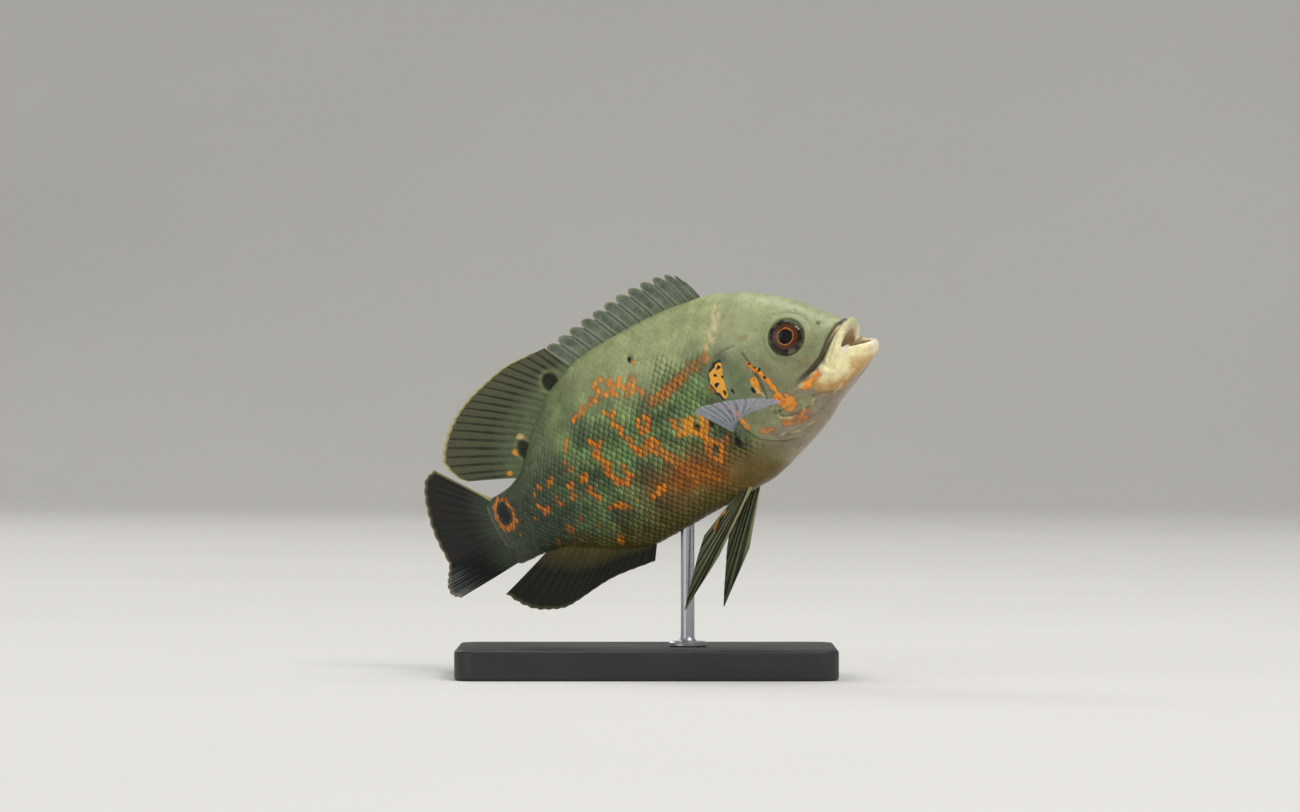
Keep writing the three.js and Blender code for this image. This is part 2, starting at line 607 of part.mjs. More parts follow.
// Pelvic fins: a spine and five rays that trail back, half closed, the first ray drawn out in a thread
const PELVIC_RAYS = 6;
const PELVIC = { root: [46.2, 50], up: -19.2, left: 3.6 };
const pelvicTipBack = curveThrough([[0, 62.5], [0.2, 78.2], [0.4, 74.5], [0.6, 71.5], [0.8, 68], [1, 63.5]]);
const pelvicTipUp = curveThrough([
  [0, -31.8], [0.2, -40.2], [0.4, -36.2], [0.6, -33.2], [0.8, -29.6], [1, -25.4],
]);
const PELVIC_LEAN = 5;
const PELVIC_DROP = { right: 0, left: degToRad(9) };

function pelvicFin(side) {
  const middleAt = (u, v) => {
    const rootS = lerp(PELVIC.root[0], PELVIC.root[1], u);
    const drop = side > 0 ? PELVIC_DROP.left : PELVIC_DROP.right;
    const [back, up] = [pelvicTipBack(u) - rootS, pelvicTipUp(u) - PELVIC.up];
    const tipBack = back * Math.cos(drop) + up * Math.sin(drop);
    const tipUp = up * Math.cos(drop) - back * Math.sin(drop);
    const left = side * (PELVIC.left + PELVIC_LEAN * v);
    return straightPoint(rootS, tipBack * v, left, PELVIC.up + tipUp * v);
  };
  const columns = (PELVIC_RAYS - 1) * 2;
  const root = ROOT_THICKNESS.pelvic;
  return finBlade({ columns, rows: 6, middleAt, ridgeAt: rayPattern(PELVIC_RAYS), root });
}

// Materials
function paint(color, roughness, metalness = 0) {
  return new THREE.MeshStandardMaterial({ color, roughness, metalness });
}
const PAINTS = {
  head: paint(0x6f7a5e, 0.45),
  flank: paint(0x4c5a44, 0.45),
  lips: paint(0xc9be86, 0.45),
  eye: paint(0x241008, 0.15),
  fin: paint(0x3a4234, 0.5),
  clearFin: paint(0x8d95a8, 0.4),
  tailFin: paint(0x23271f, 0.5),
  base: paint(0x2a2a2c, 0.6),
  rod: paint(0xb9bcc0, 0.35, 1),
};

// The fish
const fish = new THREE.Group();
fish.rotation.y = -PITCH;

function add(group, name, geometry, material) {
  const mesh = new THREE.Mesh(geometry, material);
  mesh.name = name;
  group.add(mesh);
}

const sides = [['left', 1], ['right', -1]];
const gap = CLEARANCE / 2;
const headOutside = bodyLength(SNOUT_START, HEAD_END - gap, HEAD_STEP);
const torsoOutside = bodyLength(HEAD_END + gap, TORSO_END - gap, TORSO_STEP);
const tailSolid = bodyLength(TORSO_END + gap, TAIL_END, TAIL_STEP);
const mouthSpace = sideCutter(GAPE).add(throatSolid());

let head = headOutside.subtract(mouthSpace).subtract(sideCutter(HEAD_WITHOUT_JAW));
head = head.subtract(upperLip(CLEARANCE));
let torso = torsoOutside;
const jaw = headOutside.intersect(sideCutter(JAW_BACK)).subtract(mouthSpace).add(lowerLip(0));
head = head.subtract(lowerLip(CLEARANCE));
const covers = {};
for (const [name, side] of sides) {
  covers[name] = gillCover(side, 0);
  head = head.subtract(gillCover(side, CLEARANCE));
  torso = torso.subtract(gillCover(side, CLEARANCE));
  const rim = setOnFlank(ring(EYE.rim, EYE.rimThickness, EYE.around, 6), EYE.s, EYE.up, side);
  head = head.add(solidOf(rim)).subtract(eyeball(side, CLEARANCE)).subtract(jawGroove(side));
  const nostrilRim = setOnFlank(ring(NOSTRIL.rim, NOSTRIL.rimThickness, 10, 5), NOSTRIL.s, NOSTRIL.up, side);
  const bore = new THREE.CylinderGeometry(NOSTRIL.radius, NOSTRIL.radius, 2 * NOSTRIL.depth, 8);
  head = head.add(solidOf(nostrilRim)).subtract(solidOf(setOnFlank(bore, NOSTRIL.s, NOSTRIL.up, side)));
}

add(fish, 'head', geometryOf(head), PAINTS.head);
add(fish, 'lower_jaw', geometryOf(jaw.subtract(upperLip(CLEARANCE))), PAINTS.lips);
add(fish, 'upper_lip', geometryOf(upperLip(0)), PAINTS.lips);
add(fish, 'torso', geometryOf(torso), PAINTS.flank);
add(fish, 'tail', geometryOf(tailSolid), PAINTS.flank);

// The room that fins and the rod leave round the body
const bodyRoom = bodyLength(SNOUT_START, TAIL_END, ROOM_STEP, CLEARANCE);

for (const [name, side] of sides) {
  add(fish, `eye_${name}`, geometryOf(eyeball(side, 0)), PAINTS.eye);
  add(fish, `gill_cover_${name}`, geometryOf(covers[name]), PAINTS.head);
  const clearOfBody = (solid) => solid.subtract(bodyRoom).subtract(gillCover(side, CLEARANCE));
  add(fish, `pectoral_fin_${name}`, geometryOf(clearOfBody(pectoralFin(side))), PAINTS.clearFin);
  add(fish, `pelvic_fin_${name}`, geometryOf(pelvicFin(side).subtract(bodyRoom)), PAINTS.fin);
}
add(fish, 'dorsal_fin_spiny', geometryOf(spinyDorsal().subtract(bodyRoom)), PAINTS.fin);
add(fish, 'dorsal_fin_soft', geometryOf(softDorsal().subtract(bodyRoom)), PAINTS.fin);
add(fish, 'anal_fin', geometryOf(analFin().subtract(bodyRoom)), PAINTS.fin);
add(fish, 'tail_fin', geometryOf(tailFin().subtract(bodyRoom)), PAINTS.tailFin);

// The stand, with the fish's middle over its own
fish.updateMatrixWorld(true);
const bounds = new THREE.Box3().setFromObject(fish, true);
const middle = bounds.getCenter(new THREE.Vector3());
fish.position.set(-middle.x, -middle.y, BASE.thickness + FIN_CLEARANCE_BELOW - bounds.min.z);
fish.updateMatrixWorld(true);
const belly = fishPoint(ROD.station, 0, bellyLine(ROD.station)).applyMatrix4(fish.matrixWorld);

const stand = new THREE.Group();
const corner = new THREE.Shape();
const [halfLength, halfDepth] = [BASE.length / 2 - BASE.bevel, BASE.width / 2 - BASE.bevel];
corner.moveTo(-halfLength + BASE.corner, -halfDepth);
corner.lineTo(halfLength - BASE.corner, -halfDepth);
corner.absarc(halfLength - BASE.corner, -halfDepth + BASE.corner, BASE.corner, -Math.PI / 2, 0);
corner.absarc(halfLength - BASE.corner, halfDepth - BASE.corner, BASE.corner, 0, Math.PI / 2);
corner.absarc(-halfLength + BASE.corner, halfDepth - BASE.corner, BASE.corner, Math.PI / 2, Math.PI);
corner.absarc(-halfLength + BASE.corner, -halfDepth + BASE.corner, BASE.corner, Math.PI, 1.5 * Math.PI);
const basePlate = new THREE.ExtrudeGeometry(corner, {
  depth: BASE.thickness - 2 * BASE.bevel, bevelThickness: BASE.bevel, bevelSize: BASE.bevel, bevelSegments: 1,
  curveSegments: 5,
}).translate(0, 0, BASE.bevel);

// A rod with a flange at its foot. Its end stands in a socket of the base.
function standRod(grow) {
  const [top, foot] = [belly.z + ROD.reachIn, BASE.thickness];
  const outline = [
    [0, foot - ROD.socketDepth - grow], [ROD.radius + grow, foot - ROD.socketDepth - grow],
    [ROD.radius + grow, foot + CLEARANCE - grow], [ROD.flangeRadius, foot + CLEARANCE - grow],
    [ROD.flangeRadius, foot + ROD.flangeHeight],
    [ROD.radius + grow, foot + ROD.flangeHeight + ROD.flangeSlope],
    [ROD.radius + grow, top], [0, top],
  ].map(([r, z]) => new THREE.Vector2(r, z));
  return new THREE.LatheGeometry(outline, ROD.around).rotateX(Math.PI / 2).translate(belly.x, belly.y, 0);
}

const intoFish = fish.matrixWorld.clone().invert();
const rodInFish = solidOf(standRod(0).applyMatrix4(intoFish)).subtract(bodyRoom);
add(stand, 'stand_rod', geometryOf(rodInFish).applyMatrix4(fish.matrixWorld), PAINTS.rod);
add(stand, 'stand_base', geometryOf(solidOf(basePlate).subtract(solidOf(standRod(CLEARANCE)))), PAINTS.base);

const model = new THREE.Group();
model.add(fish, stand);

export default model;
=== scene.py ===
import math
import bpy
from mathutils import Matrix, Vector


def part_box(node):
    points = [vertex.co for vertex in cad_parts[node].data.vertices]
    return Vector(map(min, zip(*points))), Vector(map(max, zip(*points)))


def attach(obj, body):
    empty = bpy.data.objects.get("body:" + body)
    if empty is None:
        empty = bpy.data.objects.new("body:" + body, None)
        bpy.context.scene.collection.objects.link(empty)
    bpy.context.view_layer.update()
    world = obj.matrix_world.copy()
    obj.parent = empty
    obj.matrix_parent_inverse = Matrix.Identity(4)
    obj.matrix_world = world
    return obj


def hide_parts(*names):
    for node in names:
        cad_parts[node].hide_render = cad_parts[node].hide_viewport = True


bl_info = {
    "name": "Oscar fish model",
    "version": (1, 0, 0),
    "blender": (4, 5, 0),
    "location": "3D View > Sidebar > Oscar",
    "description": "Builds a life-size oscar, rising in a turn with its mouth open, on a plain display stand",
    "category": "Object",
}

import bmesh
import bpy
import numpy as np
from bpy.props import FloatProperty, FloatVectorProperty, PointerProperty
from mathutils import Vector
from mathutils.geometry import tessellate_polygon

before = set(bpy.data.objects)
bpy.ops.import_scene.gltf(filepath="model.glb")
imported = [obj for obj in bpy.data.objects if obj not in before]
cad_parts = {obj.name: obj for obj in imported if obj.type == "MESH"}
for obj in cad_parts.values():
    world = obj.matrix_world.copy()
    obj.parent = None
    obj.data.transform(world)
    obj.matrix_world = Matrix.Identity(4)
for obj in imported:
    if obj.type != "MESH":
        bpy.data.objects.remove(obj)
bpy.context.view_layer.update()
MM = 0.001


# Body shape, in the solids' own millimetres: s runs back from the upper lip, left and up are the fish's own


def curve_through(*knots):
    """A smooth curve through (place, value) knots that never swings past them."""
    x, y = np.array(knots, float).T
    width = np.diff(x)
    rise = np.diff(y) / width
    slope = np.concatenate([rise[:1], np.zeros(len(x) - 2), rise[-1:]])
    rising = rise[:-1] * rise[1:] > 0
    total = np.where(rising, rise[:-1] + rise[1:], 1)
    slope[1:-1] = np.where(rising, 2 * rise[:-1] * rise[1:] / total, 0)

    def at(place):
        p = np.clip(np.asarray(place, float), x[0], x[-1])
        i = np.clip(np.searchsorted(x, p, side="right") - 1, 0, len(x) - 2)
        t = (p - x[i]) / width[i]
        keep = (1 + 2 * t) * (1 - t) ** 2
        leave = t * (1 - t) ** 2 * width[i] * slope[i]
        arrive = t * t * (t - 1) * width[i] * slope[i + 1]
        return keep * y[i] + (1 - keep) * y[i + 1] + leave + arrive

    return at


def smooth(x, start, full):
    """0 at the start and 1 at the full end, with soft turns. The full end may be the lower one."""
    t = np.clip((x - start) / (full - start), 0, 1)
    return t * t * (3 - 2 * t)


def mixed(a, b, t):
    return a + (b - a) * t


def bell(x, width, middle=0.0):
    return np.exp(-(((x - middle) / width) ** 2))


def oval(x, y, middle, spread):
    """A soft oval hump about a middle."""
    return bell(x, spread[0], middle[0]) * bell(y, spread[1], middle[1])


STANDARD_LENGTH = 120.0
SNOUT_START, TAIL_END = -2.2, 123.0
HEAD_TURN, NAPE_TURN, TAIL_TURN = math.radians(25), math.radians(-6), math.radians(33)
NAPE_BEND, TAIL_BEND = (34.0, 52.0), (66.0, 120.0)
PITCH = math.radians(28.5)
MIDLINE_STEP = 0.25
FISH_PLACE = np.array([56.779, -30.142, 88.905])
BELLY_POWER = 0.92

back_line = curve_through(
    (-2.2, -2.4), (-1.2, 0.6), (0.4, 4.8), (1.8, 6.4), (5.4, 9.4), (9.2, 13.9), (13.4, 18.1), (17.8, 21.6),
    (24.9, 26.1), (36.5, 30.2), (56, 32.1), (70, 31.8), (84, 28), (94, 21.4), (101, 15.4), (107, 11.2),
    (114, 9.9), (120, 9.6), (123, 9),
)
belly_line = curve_through(
    (-2.2, -3.4), (-0.2, -4.8), (2.7, -6.3), (6.6, -8.2), (11, -10.1), (15.2, -11.8), (20.3, -14.4),
    (31.9, -18.5), (43.5, -21.1), (60, -21.4), (77.7, -21.7), (88, -18.6), (97, -14), (104, -10.8),
    (112, -9.8), (120, -9.6), (123, -9),
)
half_width = curve_through(
    (-2.2, 0.9), (-1.4, 2.6), (0.4, 4.3), (3, 5.9), (6.5, 7.1), (11, 8.2), (16, 9.4), (23, 10.8), (31, 11.8),
    (42, 12.3), (56, 12), (70, 10.6), (84, 8.2), (96, 5.6), (106, 3.9), (114, 3), (120, 2.2), (123, 1.1),
)
widest_line = curve_through(
    (-2.2, -3), (3, -1.5), (8, 0), (16, 1.8), (30, 3.2), (60, 4.5), (84, 4.5), (100, 2.5), (112, 0.3),
    (123, 0),
)
ridge_power = curve_through((0, 1), (16, 1.05), (40, 1.25), (90, 1.35), (112, 1.1))


def turn_at(s):
    tail = np.clip((s - TAIL_BEND[0]) / (TAIL_BEND[1] - TAIL_BEND[0]), 0, 1)
    return HEAD_TURN + NAPE_TURN * smooth(s, *NAPE_BEND) + TAIL_TURN * tail**2


STATIONS = np.arange(0, STANDARD_LENGTH + MIDLINE_STEP / 2, MIDLINE_STEP)
STEP_TURNS = turn_at(STATIONS[:-1] + MIDLINE_STEP / 2)
BEHIND = np.concatenate([[0], np.cumsum(np.cos(STEP_TURNS))]) * MIDLINE_STEP
AWAY = np.concatenate([[0], np.cumsum(np.sin(STEP_TURNS))]) * MIDLINE_STEP


def midline_at(s):
    """How far behind the snout and away from the viewer the midline is at s, and its heading."""
    place = np.clip(s, 0, STANDARD_LENGTH)
    turn = turn_at(s)
    behind = np.interp(place, STATIONS, BEHIND) + (s - place) * np.cos(turn)
    away = np.interp(place, STATIONS, AWAY) + (s - place) * np.sin(turn)
    return behind, away, turn


def fish_point(s, left, up):
    s, left, up = np.broadcast_arrays(*(np.asarray(a, float) for a in (s, left, up)))
    behind, away, turn = midline_at(s)
    return np.stack([-behind + left * np.sin(turn), away + left * np.cos(turn), up], -1)


def straight_point(s, back, left, up):
    """A point straight back from station s, as a fin ray goes, whatever the body does behind it."""
    s, back, left, up = np.broadcast_arrays(*(np.asarray(a, float) for a in (s, back, left, up)))
    turn = turn_at(s)
    return fish_point(s, left, up) + np.stack([-back * np.cos(turn), back * np.sin(turn), 0 * back], -1)


def reach_at(s, above):
    """Height of a cross-section from its widest line to the back or to the belly."""
    return np.where(above, back_line(s) - widest_line(s), widest_line(s) - belly_line(s))


def half_at(s, angle, grow=0.0):
    """How far the surface lies beside the middle at an angle round the body. Angle 0 is the left."""
    across = np.cos(angle)
    power = np.where(np.sin(angle) > 0, ridge_power(s), BELLY_POWER)
    return (half_width(s) + grow) * np.sign(across) * np.abs(across) ** power


def up_at(s, angle, grow=0.0):
    rise = np.sin(angle)
    return widest_line(s) + (reach_at(s, rise > 0) + grow) * rise


def body_point(s, angle, grow=0.0):
    """A point of the body's surface, or of one grow outside it."""
    return fish_point(s, half_at(s, angle, grow), up_at(s, angle, grow))


def flank_angle(s, up):
    over = up - widest_line(s)
    return np.arcsin(np.clip(over / reach_at(s, over > 0), -1, 1))


def flank_point(s, up, side):
    angle = flank_angle(s, up)
    return body_point(s, angle if side > 0 else math.pi - angle)


def flank_normal(s, up, side):
    step = 0.5
    along = flank_point(s + step, up, side) - flank_point(s - step, up, side)
    rise = flank_point(s, up + step, side) - flank_point(s, up - step, side)
    normal = np.cross(along, rise) * side
    return normal / np.linalg.norm(normal)


ARC_STEP = 0.5
ARC_STATIONS = np.arange(-2.0, 123.0, ARC_STEP)
ARC_ANGLES = np.linspace(-math.pi / 2, math.pi / 2, 241)
JUST_INSIDE = 1.001


def arc_table():
    """Lengths round the flank from its widest line to each angle, at each station."""
    s, angle = ARC_STATIONS[:, None], ARC_ANGLES[None, :]
    steps = np.hypot(np.diff(half_at(s, angle), axis=1), np.diff(up_at(s, angle), axis=1))
    arcs = np.concatenate([np.zeros((len(s), 1)), np.cumsum(steps, axis=1)], axis=1)
    return arcs - arcs[:, [len(ARC_ANGLES) // 2]]


ARCS = arc_table()


def table_place(value, grid):
    """Where values lie in an even grid: the entry below and the share of the way to the next."""
    place = np.clip((value - grid[0]) / (grid[1] - grid[0]), 0, len(grid) - JUST_INSIDE)
    low = np.floor(place).astype(int)
    return low, place - low


def angle_at(s, arc):
    """The angle at a length round the flank."""
    low, share = table_place(s, ARC_STATIONS)
    result = np.zeros_like(arc)
    for row, part in ((low, 1 - share), (low + 1, share)):
        found = np.zeros_like(arc)
        for i in np.unique(row):
            mine = row == i
            found[mine] = np.interp(arc[mine], ARCS[i], ARC_ANGLES)
        result += found * part
    return result


def unrolled(s, up):
    """The length round the flank, from its widest line to a height at s."""
    s, up = np.asarray(s, float), np.asarray(up, float)
    (i, row), (j, column) = table_place(s, ARC_STATIONS), table_place(flank_angle(s, up), ARC_ANGLES)
    low, high = (mixed(ARCS[k, j], ARCS[k, j + 1], column) for k in (i, i + 1))
    return mixed(low, high, row)


def on_flank(path):
    """A path of (s, up) corners, unrolled."""
    return [(s, float(unrolled(s, up))) for s, up in path]


def to_scene(points):
    """Pitches the fish, puts it over the stand and turns millimetres into metres."""
    c, d = math.cos(PITCH), math.sin(PITCH)
    x, y, z = np.moveaxis(points, -1, 0)
    return (np.stack([x * c - z * d, y, x * d + z * c], -1) + FISH_PLACE) * MM


def to_fish(points):
    """The s, left and up of points of the scene."""
    c, d = math.cos(PITCH), math.sin(PITCH)
    x, y, z = np.moveaxis(points / MM - FISH_PLACE, -1, 0)
    ahead, up = x * c + z * d, -x * d + z * c
    s = np.clip(np.interp(-ahead, BEHIND, STATIONS), SNOUT_START, TAIL_END)
    for _ in range(8):
        behind, away, turn = midline_at(s)
        s = s + (-(ahead + behind) * np.cos(turn) + (y - away) * np.sin(turn))
    behind, away, turn = midline_at(s)
    return s, (ahead + behind) * np.sin(turn) + (y - away) * np.cos(turn), up


# Patterns over the body


LATTICE_SIZE = 256
LATTICE = np.random.default_rng(11).random((LATTICE_SIZE, LATTICE_SIZE)) * 2 - 1
SEED_SHIFT = (37.7, 91.3)
FAR_AWAY = 1e9


def grain(x, y, size, seed):
    """Soft noise from -1 to 1 with blobs of a size in millimetres."""
    gx, gy = x / size + SEED_SHIFT[0] * seed, y / size + SEED_SHIFT[1] * seed
    ix, iy = np.floor(gx).astype(int), np.floor(gy).astype(int)
    tx, ty = smooth(gx - ix, 0, 1), smooth(gy - iy, 0, 1)

    def corner(i, j):
        return LATTICE[(ix + i) % LATTICE_SIZE, (iy + j) % LATTICE_SIZE]

    return mixed(mixed(corner(0, 0), corner(1, 0), tx), mixed(corner(0, 1), corner(1, 1), tx), ty)


def path_distance(x, y, path):
    """Distance to a path of corners."""
    best = np.full(np.shape(x), FAR_AWAY)
    for (ax, ay), (bx, by) in zip(path[:-1], path[1:]):
        dx, dy = bx - ax, by - ay
        t = np.clip(((x - ax) * dx + (y - ay) * dy) / max(dx * dx + dy * dy, 1 / FAR_AWAY), 0, 1)
        best = np.minimum(best, np.hypot(x - ax - t * dx, y - ay - t * dy))
    return best


def from_line(s, arc, path):
    """Distance on the unrolled flank to a path of (s, up) corners."""
    return path_distance(s, arc, on_flank(path))


def inside(x, y, corners):
    """True inside an outline of corners."""
    found = np.zeros(np.shape(x), bool)
    for (ax, ay), (bx, by) in zip(corners, corners[1:] + corners[:1]):
        if ay != by:
            found ^= ((ay > y) != (by > y)) & (x < (bx - ax) * (y - ay) / (by - ay) + ax)
    return found


def depth_inside(x, y, corners, edge):
    """Distance to an edge, negative outside an outline of corners."""
    away = path_distance(x, y, edge)
    return np.where(inside(x, y, corners), away, -away)


def flecks(x, y, places, core, rim):
    """The strongest of some ovals, as (depth, x, y, half length, half height), fading from core to rim."""
    return np.max([
        depth * smooth(np.hypot((x - cx) / wide, (y - cy) / high), rim, core)
        for depth, cx, cy, wide, high in places
    ], axis=0)


# Orange strokes as (half width, depth of colour, corners)
ORANGE_STROKES = (
    (0.6, 1.0, [(28.2, 8.8), (26.8, 6.2), (25.4, 3.1), (24.8, 0.3), (24.5, -2.1)]),
    (0.75, 0.95, [(28.6, 4.4), (28.9, 1.2)]),
    (1.7, 0.8, [(24.7, -3.2), (23.4, -4.6), (24.0, -6.0)]),
    (1.4, 0.62, [(21.8, -9.6), (24.2, -10.2), (26.8, -9.4)]),
    (1.0, 0.6, [(31.8, -9.2), (33.4, -8.2)]),
    (0.6, 0.9, [(37.4, 1.2), (37.0, 0.2)]),
    (0.6, 0.9, [(36.9, -0.9), (36.7, -1.9)]),
    (0.6, 0.9, [(36.7, -3.0), (36.5, -4.2)]),
    (0.6, 0.8, [(36.4, -5.2), (36.0, -6.6)]),
    (0.75, 0.95, [(12.0, -1.5), (15.2, -2.7), (17.8, -3.6)]),
    (1.5, 0.62, [(38.3, 15.2), (41.3, 14.9), (44.0, 14.6), (47.2, 13.7)]),
    (1.6, 0.72, [(48.2, 13.2), (52.7, 12.3), (57.6, 11.6)]),
    (0.85, 1.0, [(78.9, 10.9), (76.9, 8.6)]),
    (0.9, 1.0, [(78.8, 7.1), (77.9, 4.5), (76.4, 3.2), (78.4, 2.0), (77.8, -0.1), (76.9, -2.3),
                (74.6, -3.5)]),
    (0.9, 0.95, [(74.6, -3.5), (73.0, -1.9), (73.4, 0.2)]),
    (0.95, 1.0, [(70.0, 11.0), (69.3, 9.2)]),
    (0.95, 1.0, [(68.2, 6.6), (68.2, 3.9), (67.6, 1.5)]),
    (0.85, 1.0, [(63.4, 9.3), (64.3, 6.5)]),
    (0.9, 1.0, [(60.8, 9.2), (61.9, 6.2)]),
    (0.95, 1.0, [(63.8, 3.5), (63.4, 0.3)]),
    (0.9, 1.0, [(61.9, 2.9), (61.7, -0.6), (61.2, -2.9)]),
    (0.8, 0.95, [(65.6, 2.6), (66.3, 0.5)]),
    (0.8, 1.0, [(54.9, 4.8), (54.9, 3.4)]),
    (0.75, 1.0, [(54.6, 1.3), (53.1, 0.2)]),
    (0.8, 1.0, [(51.9, 3.5), (52.1, 2.2)]),
    (1.0, 1.0, [(50.3, 2.7), (51.2, -0.2)]),
    (1.0, 1.0, [(47.3, 2.0), (46.9, -0.7), (49.8, -1.8), (49.3, -4.1), (46.9, -5.6), (46.6, -8.3)]),
    (1.0, 1.0, [(46.6, -8.3), (49.4, -10.0), (50.9, -7.4), (49.4, -4.6)]),
    (1.5, 0.7, [(60.2, -4.0), (59.0, -7.1), (57.6, -11.2)]),
    (1.5, 0.62, [(56.9, -6.4), (55.0, -10.4), (52.2, -13.4)]),
    (0.9, 0.9, [(85.6, -0.4), (83.9, -4.0)]),
    (0.9, 0.9, [(82.8, -7.4), (80.6, -7.2), (79.2, -8.5), (78.1, -9.7)]),
    (1.0, 1.0, [(70.7, -9.9), (66.4, -9.3)]),
    (0.7, 1.0, [(84.9, -14.9), (86.7, -17.0)]),
    (0.8, 0.85, [(73.9, 19.3), (76.2, 18.6), (78.5, 18.0), (80.7, 17.4)]),
    (0.7, 0.8, [(84.8, 13.6), (86.1, 11.6)]),
    (0.8, 0.9, [(101.8, 1.9), (101.0, -0.4), (99.4, 0.4)]),
    (0.75, 0.85, [(94.2, 6.6), (95.6, 5.4)]),
    (0.75, 0.95, [(116.0, 8.6), (118.1, 7.0), (118.7, 3.9), (117.6, 0.6), (114.6, 0.1), (111.6, 1.5)]),
    (0.65, 0.9, [(111.6, 1.5), (111.1, 4.8), (112.6, 7.6), (116.0, 8.8)]),
)
# Orange spots as (s, up, half size, depth of colour), those of the upper cluster before their growth
UPPER_GROWTH = 1.2
UPPER_SPOTS = (
    (70.9, 22.9, 0.8, 0.9), (68.4, 23.4, 0.9, 0.95), (67.1, 21.8, 0.8, 0.95), (65.9, 20.3, 0.9, 1),
    (67.3, 19.1, 0.8, 0.9), (63.5, 21.2, 0.9, 0.9), (63.2, 18.5, 1, 0.9), (61.8, 17, 0.9, 0.8),
    (70.3, 20.7, 0.8, 0.85), (71.9, 19.4, 0.9, 0.95), (69.4, 18.9, 0.7, 0.9), (71.4, 15.2, 0.9, 0.95),
    (69.8, 14.2, 0.9, 0.95), (68, 14.1, 0.7, 0.8), (60, 20.1, 0.9, 0.72), (58.6, 14.9, 1.2, 0.68),
    (57.9, 23.1, 0.75, 0.85), (66.2, 19.9, 0.8, 1), (64.4, 19.7, 0.7, 1), (68.6, 19.6, 0.7, 0.95),
    (60.8, 18.4, 0.9, 0.9), (72.4, 19.3, 0.7, 1), (70.4, 21.6, 0.7, 0.95), (59.6, 16.2, 0.9, 0.8),
)
ORANGE_SPOTS = tuple((s, up, size * UPPER_GROWTH, depth) for s, up, size, depth in UPPER_SPOTS) + (
    (85.3, 2.8, 1.3, 1), (89.7, 2.8, 1, 1), (90.7, 0.2, 1.1, 1), (88.5, 8.8, 0.8, 0.85),
    (87.2, 6.4, 0.9, 0.95), (95.2, -0.1, 0.9, 0.9), (105.4, -0.4, 0.9, 0.85), (99.1, 6.1, 0.9, 0.8),
    (101.8, 4.9, 1, 0.8), (95.6, 1.6, 0.7, 0.85), (97.1, -7.3, 1.2, 0.75), (103.3, -9, 0.9, 0.6),
    (75.6, 9.1, 0.8, 0.75), (40.6, 7.4, 1, 0.95), (41.4, 2.6, 1.1, 0.8), (44.2, -6.6, 1.4, 0.62),
    (42.4, -4.8, 1, 0.6), (120.6, -2.6, 0.7, 0.85), (112.8, -1.9, 0.6, 0.8), (92.4, -6, 1, 0.6),
    (88.6, -9.6, 1, 0.55), (14.2, 2.1, 1.7, 0.22), (26.2, 15, 1, 0.3), (36.2, 18.1, 0.7, 0.6),
    (37.4, 16.8, 0.8, 0.65), (34.4, 19.2, 0.6, 0.5), (31.8, 21.5, 0.5, 0.5), (65.8, 18, 0.9, 0.85),
    (73.6, 20.6, 0.8, 0.9), (63.6, 16.2, 0.8, 0.7), (76.4, 19.4, 0.7, 0.8),
)
# Black marks as (s, up, half length, half height)
INK_SPOTS = (
    (26.0, 5.9, 0.5, 0.5), (25.5, 3.8, 0.5, 0.55), (27.6, 8.3, 0.35, 0.45), (29.7, 2.2, 0.6, 1.05),
    (26.8, -5.8, 0.45, 0.4), (26.9, 7.2, 0.3, 0.35),
    (35.5, 11.3, 0.6, 0.55), (37.2, 10.1, 0.55, 0.6), (35.7, 8.7, 0.5, 0.55), (38.0, 7.7, 0.6, 0.6),
    (37.1, 5.1, 0.55, 0.7), (34.8, 4.3, 0.4, 0.85), (49.4, 0.5, 0.85, 0.85), (45.1, -0.4, 0.7, 1.0),
    (46.3, -3.2, 0.75, 1.2), (48.0, -6.6, 0.4, 1.3), (58.5, 24.6, 1.0, 0.9), (114.9, 4.4, 2.3, 3.1),
    (41.0, -8.0, 0.9, 1.4), (42.6, 3.0, 0.5, 0.5),
)
# Pale streaks as (half width, depth of colour, corners)
PALE_STREAKS = (
    (1.5, 0.85, [(31.0, 25.6), (31.8, 22.7), (33.5, 20.3), (36.6, 17.6)]),
    (0.34, 0.8, [(28.9, 1.8), (27.7, -2.4), (28.7, -5.0), (27.9, -7.4), (25.3, -8.9), (22.2, -8.8),
                 (17.9, -7.7)]),
    (0.45, 0.7, [(11.2, -1.0), (15.4, -2.1), (20.4, -3.4)]),
    (0.4, 0.5, [(30.4, -11.6), (25.4, -13.0), (20.6, -12.2)]),
    (0.4, 0.45, [(5.0, -5.6), (10.0, -7.4), (15.0, -9.4)]),
)
# Where orange turns yellow, as (depth, middle, spread)
YELLOWER = ((0.8, (50.5, 1.5), (4.5, 3.2)), (1, (29.2, 2.6), (1.8, 2.2)))
GILL_SPOT = [
    (34.8, 12.5), (36.4, 12.5), (38.1, 11.6), (39.2, 10.2), (39.6, 7.9), (39.0, 5.8), (37.9, 3.8),
    (37.0, 3.4), (36.3, 4.3), (36.1, 6.2), (35.7, 8.0), (34.7, 10.0), (34.3, 11.7),
]
SPOT_RIM = slice(0, 7)
RIGHT_SEED, LEFT_SEED = 3, 40
WAVER, WAVER_SIZE = 0.35, 1.1
LEFT_SHIFT, SHIFT_SIZE = 1.6, 9
MAXILLA_GROOVE = [(1.9, 7.0), (5, 5.6), (7.8, 3.3), (10.6, 0.9), (14, -0.5), (17.6, -1.4), (21.4, -2.6)]
CHEEK_EDGE = [(28.2, 11.5), (27.8, 8.7), (27.3, 4.5), (27.7, -0.1), (28.3, -3.1), (28.2, -5.8), (26.6, -8),
              (23.4, -8.9), (20.1, -8.7), (17.8, -8)]
